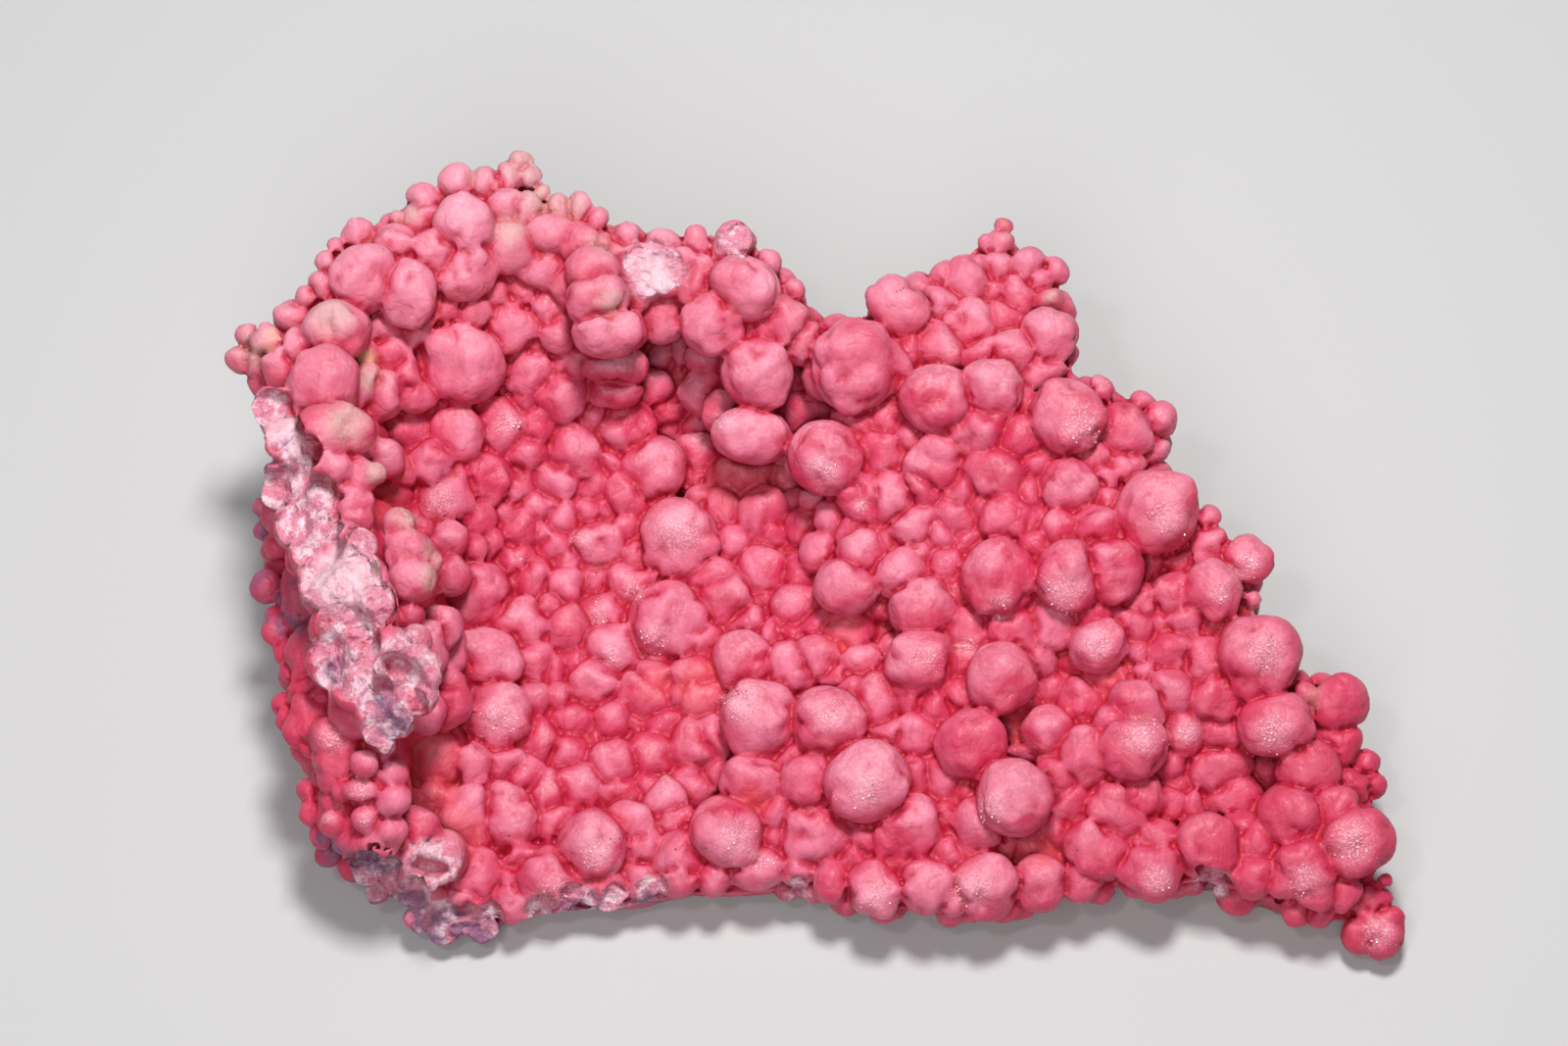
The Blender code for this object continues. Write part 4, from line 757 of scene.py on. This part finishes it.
def bare_rock(points, normals):
    """1 on the rock below the crust's edge, 0 on the crust, told by height and way of facing."""
    nearest = np.full(len(points), 9.0)
    rim_height = np.zeros(len(points))
    for rim_point in top:
        away = np.hypot(points[:, 0] - rim_point.x, points[:, 1] - rim_point.y)
        rim_height = np.where(away < nearest, rim_point.z, rim_height)
        nearest = np.minimum(nearest, away)
    seen = as_seen(points)
    under_crust = ease(crust_depth(seen[:, 0], seen[:, 1]) - seen[:, 2], 3.0, 5.0)
    outward = points[:, 0:2] - np.array(spine[0:2])
    outward /= np.linalg.norm(outward, axis=1)[:, None] + 0.00001
    faces_out = ease((normals[:, 0:2] * outward).sum(axis=1) - 0.5 * normals[:, 2], -0.1, 0.3)
    bare_below = rim_height - np.minimum(0.0115, 0.58 * rim_height)
    bare_below = bare_below + 0.0012 * swell(points, 0.006, 61)
    return under_crust * faces_out * ease(bare_below - points[:, 2], -0.0006, 0.0010)


def broken_surface(points, seen):
    """How deep the breaks go, blended from one to the next, and 1 where a point is in one."""
    plane = np.zeros(len(points))
    weights = np.zeros(len(points))
    near = np.zeros(len(points))
    wander = 0.9 * swell(points, 0.0022, 9)
    for across, up, reach, depth_left, slope_across, slope_up in BREAKS:
        beside = seen[:, 0] - across
        above = seen[:, 1] - up
        distance = np.hypot(beside, above)
        weight = (distance**2 + 3.0) ** -2
        plane += weight * (depth_left + slope_across * beside + slope_up * above)
        weights += weight
        near = np.maximum(near, 1.0 - ease(distance + wander, 1.05 * reach, 1.25 * reach))
    return plane / weights, near


# The creases between knobs are cut in sharper than the fusing left them.
points = vectors_of(fused_mesh.vertices, "co")
normals = vectors_of(fused_mesh.vertex_normals, "vector")
deep = sunk_below(points, normals, joined_by(fused_mesh), 8)
points -= normals * np.clip(deep * 2.5, 0.0, 0.50)[:, None] / 1000

# The broken places are pressed back to a rough shelf, and the hollows sunk in. The crust gets
# fine swells and small domes, the bare rock ridges.
seen = as_seen(points)
sight = np.array(Matrix.Rotation(FACE_TILT, 3, "X") @ Vector((0, 0, 1)))
jagged = np.abs(swell(points, 0.0016, 3)) + 0.5 * np.abs(swell(points, 0.0008, 4))
plane, near = broken_surface(points, seen)
excess = seen[:, 2] - plane + 1.0 * jagged
step_back = np.where((excess > 0) & (excess < 9.0), near * excess, 0.0)
for across, up, half_length, half_width, turn, floor_depth in HOLLOWS:
    lean = math.radians(turn)
    beside = seen[:, 0] - across
    above = seen[:, 1] - up
    along = (beside * math.cos(lean) + above * math.sin(lean)) / half_length
    aside = (above * math.cos(lean) - beside * math.sin(lean)) / half_width
    inward = np.clip(1.0 - np.hypot(along, aside), 0.0, 1.0)
    excess = seen[:, 2] - floor_depth
    sunk = np.clip(excess, 0.0, 5.0) * ease(inward, 0.0, 0.55)
    step_back = np.maximum(step_back, np.where(excess < 8.0, sunk, 0.0))
points -= sight * step_back[:, None] / 1000
wave = 0.10 * swell(points, 0.0030, 21) + 0.30 * domes(points, 0.0038, 24) - 0.20
showing = 0.1 + 0.9 * ease(normals @ sight, -0.6, 0.1)
rough = 1.1 * np.abs(swell(points, 0.0065, 62)) + 0.8 * np.abs(swell(points, 0.0028, 63))
rough = rough + 0.4 * np.abs(swell(points, 0.0013, 64)) - 1.0
rock = bare_rock(points, normals)
points += normals * ((1.0 - rock) * wave * showing + rock * rough)[:, None] / 1000
fused_mesh.vertices.foreach_set("co", points.astype(np.float32).ravel())
fused_mesh.update()


def sawn_flat(mesh, height):
    """The mesh as a bmesh, cut off flat at this height, with the faces of the cut."""
    sawn = bmesh.new()
    sawn.from_mesh(mesh)
    everything = sawn.verts[:] + sawn.edges[:] + sawn.faces[:]
    cut = {"dist": 0.00002, "plane_co": (0, 0, height), "plane_no": (0, 0, -1)}
    bmesh.ops.bisect_plane(sawn, geom=everything, clear_outer=True, **cut)
    rim = [edge for edge in sawn.edges if edge.is_boundary]
    return sawn, bmesh.ops.holes_fill(sawn, edges=rim, sides=0)["faces"]


# Sawn off just below the floor, thinned out where it is smooth, and cut flat at the floor.
rough_cut, _ = sawn_flat(fused_mesh, -0.0006)
rough_cut.to_mesh(fused_mesh)
rough_cut.free()
lump_object.modifiers.clear()
lump_object.data = fused_mesh
thin = lump_object.modifiers.new("thin", "DECIMATE")
thin.ratio = TRIANGLES / sum(len(face.vertices) - 2 for face in fused_mesh.polygons)
thin.use_collapse_triangulate = True
thin_mesh = with_modifiers(lump_object)
bpy.data.objects.remove(lump_object)
crust, flat_cut = sawn_flat(thin_mesh, 0.0)
for face in crust.faces:
    face.smooth = True
for face in flat_cut:
    face.smooth = False
bmesh.ops.triangulate(crust, faces=[face for face in crust.faces if len(face.verts) > 3])
crust_mesh = mesh_of("rhodochrosite_plate", crust)
plate = object_of(crust_mesh)

# What each point of the skin is like: how deep in a crease or hollow, where shade is painted,
# frosted, snapped, dusty, and where the crust is thin enough for a painted glow.
points = vectors_of(crust_mesh.vertices, "co")
normals = vectors_of(crust_mesh.vertex_normals, "vector")
seen = as_seen(points)
links = joined_by(crust_mesh)
crease_shade_depth = ease(sunk_below(points, normals, links, 4), 0.0, 0.16)
broad_crease = sunk_below(points, normals, links, 40)
proud = averaged(ease(-broad_crease, 0.1, 1.0), links, 2)
upward = normals @ np.array([0.0, 0.35, 0.94])
bend = 0.8 * swell(points, 0.0024, 31)


def near_spots(spots, softness=0.6):
    """1 inside any of the round spots given as (across, up, depth, reach), and 0 outside."""
    mask = np.zeros(len(points))
    for across, up, depth, reach in spots:
        gap = np.hypot(seen[:, 0] - across, seen[:, 1] - up)
        if depth is not None:
            gap = np.hypot(gap, seen[:, 2] - depth)
        mask = np.maximum(mask, 1.0 - ease(gap + bend, reach * softness, reach))
    return mask


def keep(name, values):
    """Stores one number for each point of the skin, for the stone's finish to read."""
    layer = crust_mesh.attributes.new(name, "FLOAT", "POINT")
    layer.data.foreach_set("value", np.clip(values, 0.0, 1.0).astype(np.float32))


# Spots where a glow of light through thin crust is painted, where the stone is dusty, cream, purple
# or chalky,
# the purple on the wall's outer side being painted shade, and the knobs that are open:
# (across, up, depth, reach), with no depth where all that is seen there counts.
PAINTED_GLOW_SPOTS = [
    (-60, -26, -1, 7), (-60, -36, -2, 7), (-55, -43, -1, 5), (-59, -31, 2, 6), (-63, -40, 0, 4),
    (46, -19, -1, 5), (32, -27, -1, 4), (33.5, -46, -1, 5), (-18, -20, -4, 5), (-24, -20, -4, 4),
    (-12, 11, -9, 6), (-6, 11, -9, 4), (5, 18, 0, 3), (34, 3, 1, 4), (4, -12, -3, 4),
    (-62, -8, 5, 5), (-66, 12, 0, 5), (-67, 5, 2, 5), (-71, 6, 12, 4), (-10, -37, 0, 3),
]
DUST_SPOTS = [
    (-74, 37, 17, 5), (-68, 27, 8, 3.5), (-63, 53, 9, 3.5), (-42, 55, 7, 5), (-45, 60, 6, 4),
    (-67, 13, 18, 3.4), (-62, 6, 20, 4), (-58, 0, 20, 4.2), (-65, 7.5, 21, 3.6), (-59, -3.5, 20, 3),
    (-38, 53, 6, 4), (-72, 20, 20, 5), (-86, 31, 9, 4.5), (-33, 47, 8, 3.5), (-47, 50, 8, 4),
    (76, -22, 1, 3), (84, -19, 0, 3), (68, -8, 1, 3), (-31, 38, 12, 3.5), (-58.5, -16, 27, 3.6),
    (-61, -10, 22, 3), (-52, 58, 6, 3), (-70, 49, 7, 3), (36, 40, 2, 3), (30, 50, 0, 3),
]
CREAM_SPOTS = [
    (-69, 30, 6, 2.4), (-70, 22, 14, 2.4), (-70.5, 14, 14, 2.4), (-68, 4, 10, 2.6),
    (-68, 17, 15, 2.4), (-74, 11, 17, 1.8), (-62, -44, 3, 2), (67.3, -7, 0, 1.8),
    (75, -20.5, 0, 1.5), (-83, 33, 11, 2),
]
PURPLE_AND_SHADE_SPOTS = [
    (-72, -45, 3, 6), (-66, -47, 1, 4), (-77, -45, -3, 5), (-62, -54, -5, 5), (-56, -57, -6, 5),
    (-50, -58, -6, 4), (-76, -6, 19, 2.5), (-81, 15, 12, 4), (-65, -24, 20, 4.5),
    (-75, -15, 15, 3.5), (-36, -56, -5, 5), (-26, -53, -5, 3), (-69, -52, -5, 4), (-70, -21, 18, 3),
    (-79, -6, 8, 4), (-84, 5, -2, 4), (-84, -5, 0, 4), (-81, -10, 2, 5), (-77, -11, 8, 4),
    (-73, -17, 17, 3),
]
CHALK_SPOTS = [
    (-24.7, 43.5, None, 4.6), (-72.5, -3.5, None, 6), (-81, 18, None, 4),
]
OPEN_KNOB_SPOTS = [
    (-63.5, -18, 25, 7.5), (-59.2, -47.8, 3.5, 5.2),
]
plane, broken = broken_surface(points, seen)
broken = broken * (np.abs(seen[:, 2] - plane) < 2.4)
broken = np.maximum(broken, 0.85 * near_spots(OPEN_KNOB_SPOTS, 0.85))
frost_coat_and_sparkle_spots = [(across, up, None, 0.9 * reach) for across, up, reach, _ in GLINT_SPOTS]
frost_coat_and_sparkle = near_spots(frost_coat_and_sparkle_spots, 0.25)
upper_edge = 0.8 * ease(seen[:, 1], 20, 50) + 0.6 * ease(seen[:, 1], 48, 58)
pale = upper_edge * (1.0 - 0.7 * ease(seen[:, 0], 5, 50))
pale = pale + 0.4 * ease(-seen[:, 0], 66, 78) * ease(seen[:, 1], 2, 22)
lower_right = ease(seen[:, 0] - 0.8 * seen[:, 1], 45, 120)
# Painted shade on the wall's outer side, which faces away from the lamps.
outer_wall_shade = ease(-seen[:, 0] - 0.15 * seen[:, 1], 72, 79) * ease(8.0 - seen[:, 1], 0, 10)
keep("crease_shade", averaged(crease_shade_depth, links, 1))
keep("hollow_shade", averaged(ease(broad_crease, -0.5, 0.9), links, 2))
keep("frost_and_top_light", proud * ease(upward, 0.1, 0.9) * (0.55 + 0.45 * swell(points, 0.006, 41)))
keep("pale", 0.55 * pale * (0.7 + 0.3 * swell(points, 0.008, 43)))
keep("redder_lower_right_and_wall_shade", np.maximum(lower_right, outer_wall_shade))
keep("broken", averaged(broken, links, 1))
keep("painted_glow", near_spots(PAINTED_GLOW_SPOTS))
keep("dust", near_spots(DUST_SPOTS, 0.3) * (0.60 + 0.40 * proud))
keep("frost_coat_and_sparkle", frost_coat_and_sparkle * ease(upward, -0.2, 0.6))
keep("cream", near_spots(CREAM_SPOTS))
keep("purple_and_wall_shade", near_spots(PURPLE_AND_SHADE_SPOTS))
keep("rock", np.maximum(bare_rock(points, normals), ease(-normals[:, 2], 0.8, 0.95)))
keep("chalk", near_spots(CHALK_SPOTS, 0.5))


class Wire:
    """A shader value or colour that can be used in plain sums."""

    def __init__(self, tree, socket):
        self.tree = tree
        self.socket = socket

    def node(self, kind, settings, inputs, output=0):
        """Adds any node: its settings first, then the values or wires of its sockets."""
        made = self.tree.nodes.new(kind)
        for name, value in settings.items():
            setattr(made, name, value)
        fill_sockets(made, inputs)
        return Wire(self.tree, made.outputs[output])

    def sum(self, operation, first, second):
        """What this operation makes of two values."""
        return self.node("ShaderNodeMath", {"operation": operation}, {0: first, 1: second})

    def __add__(self, other):
        return self.sum("ADD", self, other)

    def __radd__(self, other):
        return self.sum("ADD", other, self)

    def __sub__(self, other):
        return self.sum("SUBTRACT", self, other)

    def __rsub__(self, other):
        return self.sum("SUBTRACT", other, self)

    def __mul__(self, other):
        return self.sum("MULTIPLY", self, other)

    def __rmul__(self, other):
        return self.sum("MULTIPLY", other, self)

    def limited(self, low, high):
        """0 at low, 1 at high, and no further."""
        ends = {"From Min": low, "From Max": high, "Value": self}
        return self.node("ShaderNodeMapRange", {"interpolation_type": "SMOOTHSTEP"}, ends)

    def cloud(self, scale, detail, roughness=0.5, output=0):
        """Soft chance values of about 0 to 1, with so many clouds to the metre."""
        settings = {"Vector": self, "Scale": scale, "Detail": detail, "Roughness": roughness}
        return self.node("ShaderNodeTexNoise", {}, settings, output)

    def coated(self, colour, coats):
        """A colour with others laid over it in turn, each by its share."""
        for share, coat in coats:
            inputs = {0: share, 6: colour, 7: coat}
            colour = self.node("ShaderNodeMix", {"data_type": "RGBA"}, inputs, 2)
        return colour


def fill_sockets(node, inputs):
    """Gives the named sockets of a node their values, or the wires that lead to them."""
    for name, value in inputs.items():
        if isinstance(value, Wire):
            value.tree.links.new(value.socket, node.inputs[name])
        else:
            node.inputs[name].default_value = value


def new_finish(name, mesh):
    """A material put on this mesh: its shader, and a wire of the place on the object."""
    finish = bpy.data.materials.new(name)
    finish.use_nodes = True
    mesh.materials.append(finish)
    nodes = finish.node_tree.nodes
    where = nodes.new("ShaderNodeTexCoord").outputs["Object"]
    return nodes["Principled BSDF"], Wire(finish.node_tree, where)


PINK = (0.71, 0.165, 0.270, 1)
PALE_PINK = (0.81, 0.37, 0.47, 1)
ROSE = (0.62, 0.045, 0.115, 1)
# Crimson painted as shade in grooves, creases and hollows, and on the wall's outer side.
CRIMSON_SHADE = (0.42, 0.004, 0.026, 1)
PAINTED_GLOW_RED = (0.68, 0.080, 0.105, 1)
SUGAR_AND_SPARKLE = (0.88, 0.46, 0.56, 1)
GREY_DUST = (0.56, 0.38, 0.34, 1)
CREAM = (0.76, 0.42, 0.26, 1)
SNAPPED_WHITE = (0.82, 0.58, 0.66, 1)
SNAPPED_PINK = (0.66, 0.24, 0.33, 1)
SNAPPED_DEEP = (0.52, 0.07, 0.13, 1)
LILAC = (0.20, 0.09, 0.18, 1)
ROCK_BROWN = (0.23, 0.150, 0.125, 1)
ROCK_PINK = (0.46, 0.22, 0.23, 1)
ROCK_DARK = (0.085, 0.055, 0.055, 1)
shader, where = new_finish("rhodochrosite", crust_mesh)


def stored(name):
    """What keep stored under this name, as a wire."""
    return where.node("ShaderNodeAttribute", {"attribute_name": name}, {}, 2)


hollow_shade = stored("hollow_shade")
broken = stored("broken")
dust = stored("dust")
rock = stored("rock")
patches = where.cloud(120, 3)
grains = where.cloud(1500, 3, 0.65)
fine = where.cloud(3200, 2)
layers = where.cloud(330, 5, 0.62)
veins = where.cloud(520, 4, 0.6)
coarse = where.cloud(170, 5, 0.65)
sway = where.cloud(260, 3, output=1)
sway_by = {0: sway, 1: (0.0040, 0.0040, 0.0040), 2: where}
bent = where.node("ShaderNodeVectorMath", {"operation": "MULTIPLY_ADD"}, sway_by)
lobes_wide = where.node("ShaderNodeTexVoronoi", {}, {"Vector": bent, "Scale": 380})
lobes_small = where.node("ShaderNodeTexVoronoi", {}, {"Vector": bent, "Scale": 800})

# Its colour: the crust, the snapped stone and the bare rock, each laid over the one before.
vein_lines = 1.0 - veins.sum("ABSOLUTE", veins - 0.5, 0.0).limited(0.0, 0.035)
snapped = where.coated(SNAPPED_DEEP, [
    (layers.limited(0.32, 0.42), SNAPPED_PINK),
    (layers.limited(0.48, 0.58), SNAPPED_WHITE),
    (vein_lines * 0.5, LILAC),
    (stored("chalk") * (0.5 + 0.4 * veins.limited(0.4, 0.6)), SNAPPED_WHITE),
])
bare = where.coated(ROCK_BROWN, [
    (coarse.limited(0.44, 0.56), ROCK_PINK),
    (veins.limited(0.60, 0.66) * 0.7, SNAPPED_WHITE),
    (grains.limited(0.60, 0.68) * 0.7, ROCK_DARK),
])
colour = where.coated(PINK, [
    (patches.limited(0.36, 0.66), ROSE),
    # Painted shade: crimson in the grooves between the lobes of the knobs.
    (lobes_wide.limited(0.3, 0.8) * 0.25, CRIMSON_SHADE),
    # Paler crowns: partly a frosty coat, partly a painted highlight on proud faces turned up
    # towards the key lamp.
    ((grains.limited(0.45, 0.72) * 0.4 + 0.35) * stored("frost_and_top_light").limited(0.1, 0.8), PALE_PINK),
    (stored("pale"), PALE_PINK),
    # Redder towards the lower right, and painted shade on the wall's outer side.
    (stored("redder_lower_right_and_wall_shade") * 0.75, ROSE),
    (stored("redder_lower_right_and_wall_shade") * 0.15, CRIMSON_SHADE),
    # Painted shade: rose and crimson in the broad hollows.
    (hollow_shade * 0.85, ROSE),
    (hollow_shade * hollow_shade * 0.65, CRIMSON_SHADE),
    # Painted shade: crimson deep in the creases between knobs.
    (stored("crease_shade") * 0.8, CRIMSON_SHADE),
    # A painted glow of light shining through the thin crust.
    (stored("painted_glow") * 0.55, PAINTED_GLOW_RED),
    # A sugary frost of fine crystals, its pale specks partly a painted sparkle on faces turned up
    # towards the lamps.
    (stored("frost_coat_and_sparkle") * (0.25 + fine.limited(0.45, 0.62) * 0.5), SUGAR_AND_SPARKLE),
    (dust * (grains.limited(0.35, 0.7) * 0.5 + 0.45), GREY_DUST),
    (stored("cream") * 0.75, CREAM),
    (broken * 0.92, snapped),
    # Purple matrix along the lower edge and the break, and painted shade with reflected blue on the
    # wall's outer side.
    (stored("purple_and_wall_shade") * (where.cloud(420, 3).limited(0.35, 0.6) * 0.75 + 0.1), LILAC),
    (rock, bare),
])

# Its fine relief, gloss and glow from within.
relief = grains * 0.10 + fine * 0.06 - lobes_wide * lobes_wide * 0.30
relief = relief - lobes_small * lobes_small * 0.10
relief = relief + broken * (layers * 1.3 + veins * 0.6) + stored("frost_coat_and_sparkle") * fine * 0.16
relief = relief + rock * (veins * 0.9 + grains * 0.5)
raised_by = {"Height": relief, "Strength": 0.8, "Distance": 0.001}
fill_sockets(shader, {
    "Base Color": colour,
    "Roughness": 0.34 + 0.22 * grains.limited(0.3, 0.7) + 0.12 * dust + 0.30 * rock,
    "Normal": where.node("ShaderNodeBump", {}, raised_by),
    "Subsurface Weight": 0.25,
    "Subsurface Radius": (1.0, 0.22, 0.22),
    "Subsurface Scale": 0.0007,
    "IOR": 1.5,
    "Specular IOR Level": 0.34,
})
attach(plate, "root")
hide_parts("rhodochrosite_crust")

# The glints. Tiny clear crystals that sit in groups on the knobs, each half sunk in the crust
# it grew from.
FACE_FROM = -14.0  # in millimetres as seen; no crystals grow further back
spread = np.random.default_rng(77)
facing = np.where(seen[:, 2] > FACE_FROM, 1.0, 0.0) * ease(normals @ sight, 0.2, 0.7)
crystal_seed, _ = round_form(1)


def scatter(into, across, up, reach, number, smallest, largest):
    """Grows so many small crystals on the skin within reach of a point as seen."""
    gap = (seen[:, 0] - across) ** 2 + (seen[:, 1] - up) ** 2
    near = np.exp(-gap / (0.30 * reach**2)) * facing
    near = near * ease(swell(points, 0.0011, 52) + 0.6 * swell(points, 0.0030, 53), 0.0, 0.7)
    near = near * (np.hypot(seen[:, 0] - across, seen[:, 1] - up) < reach)
    if near.sum() <= 0:
        return
    for index in spread.choice(len(points), size=number, p=near / near.sum()):
        size = spread.uniform(smallest, largest) / 1000
        turn = Vector(spread.normal(size=3)).to_track_quat("Z", "Y").to_matrix().to_4x4()
        middle = Vector(points[index] + normals[index] * size * 0.2)
        shape = Matrix.Diagonal((size, size * 0.8, size * 0.6, 1.0))
        one = crystal_seed.copy()
        one.transform(Matrix.Translation(middle) @ turn @ shape)
        into.from_mesh(one)
        bpy.data.meshes.remove(one)


crystals = bmesh.new()
for across, up, reach, number in GLINT_SPOTS:
    scatter(crystals, across, up, reach, 2 * number, 0.04, 0.10)
    scatter(crystals, across, up, 0.7 * reach, number, 0.08, 0.24)
glints = object_of(mesh_of("glint_crystals", crystals))
# The whiter tone is partly a painted glint, so that crystals look bright even where they catch no
# lamp.
PAINTED_GLINT_WHITE = (0.95, 0.66, 0.74, 1)
CLEAR_PINK = (0.86, 0.26, 0.36, 1)
shader, where = new_finish("clear_crystal", glints.data)
clear = where.coated(PAINTED_GLINT_WHITE, [(where.cloud(900, 1).limited(0.4, 0.6), CLEAR_PINK)])
fill_sockets(shader, {"Base Color": clear, "Roughness": 0.08, "IOR": 1.7})
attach(glints, "root")

# The dark grains. A few specks of black ore in small clusters, caught on the crust and half
# sunk in it like the clear crystals.
ORE_SPOTS = [
    (-31.5, -43.7, 1.6, 12), (-20.3, -45, 1.3, 14), (8.5, -34.3, 1.6, 18), (-47, -42.3, 1.4, 8),
    (16, -54.2, 0.8, 6), (-42, -52.6, 1.2, 7), (39, -43.3, 0.5, 3), (40.4, -45.3, 0.5, 3),
    (-32.5, 47.3, 1.6, 10), (-33, -0.8, 1.6, 8), (-17, -44.8, 0.6, 4), (-0.2, -35.2, 0.5, 3),
    (14, 38, 3, 5), (-72, -42.2, 0.6, 3), (-34, -4, 1.2, 4), (33, -41, 1.5, 6),
]
ore = bmesh.new()
for across, up, reach, number in ORE_SPOTS:
    scatter(ore, across, up, reach, number, 0.08, 0.20)
ore_grains = object_of(mesh_of("ore_grains", ore))
ORE_BROWN = (0.060, 0.020, 0.020, 1)
ORE_OLIVE = (0.16, 0.11, 0.06, 1)
shader, where = new_finish("dark_ore", ore_grains.data)
dark = where.coated(ORE_BROWN, [(where.cloud(1400, 2).limited(0.4, 0.62), ORE_OLIVE)])
fill_sockets(shader, {"Base Color": dark, "Roughness": 0.45})
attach(ore_grains, "root")

# The studio. A plain pale floor, a soft lamp above and behind, a broader one in front that
# fills the shade, and a small one on the left that makes the crystals glint.
floor_shape = bmesh.new()
bmesh.ops.create_grid(floor_shape, x_segments=1, y_segments=1, size=2.5)
floor = object_of(mesh_of("studio_floor", floor_shape))
shader, _ = new_finish("pale_paper", floor.data)
fill_sockets(shader, {"Base Color": (0.54, 0.54, 0.55, 1), "Roughness": 0.8})


def add_lamp(name, at, size, power, colour=(1.0, 1.0, 1.0)):
    """A square soft lamp that looks at the stone."""
    lamp_data = bpy.data.lights.new(name, "AREA")
    lamp_data.size = size
    lamp_data.energy = power
    lamp_data.color = colour
    lamp = object_of(lamp_data)
    lamp.location = at
    sight_line = Vector((0.0, 0.0, 0.015)) - Vector(at)
    lamp.rotation_euler = sight_line.to_track_quat("-Z", "Y").to_euler()


add_lamp("key_lamp", (0.03, 0.14, 0.70), 0.14, 4.9, (1.0, 0.98, 0.96))
add_lamp("front_fill", (-0.10, -0.52, 0.62), 0.45, 2.3)
add_lamp("left_spark", (-0.20, -0.20, 0.75), 0.06, 0.6)
world = bpy.data.worlds.new("studio_air")
world.use_nodes = True
air = {"Color": (0.95, 0.97, 1.0, 1), "Strength": 0.10}
fill_sockets(world.node_tree.nodes["Background"], air)
bpy.context.scene.world = world
bpy.context.scene.view_settings.view_transform = "Standard"

# The camera. It looks down square to the plane that the knobs are measured in, and takes in
# 240 mm across at that plane.
SENSOR = 36.0
camera_data = bpy.data.cameras.new("camera")
camera_data.sensor_width = SENSOR
camera_data.lens = SENSOR * SIGHT_DISTANCE / 240.0
camera = object_of(camera_data)
face_middle = Matrix.Translation((0, 0, FACE_HEIGHT / 1000)) @ Matrix.Rotation(FACE_TILT, 4, "X")
camera.matrix_world = face_middle @ Matrix.Translation((-0.0048, 0.0047, SIGHT_DISTANCE / 1000))
bpy.context.scene.camera = camera
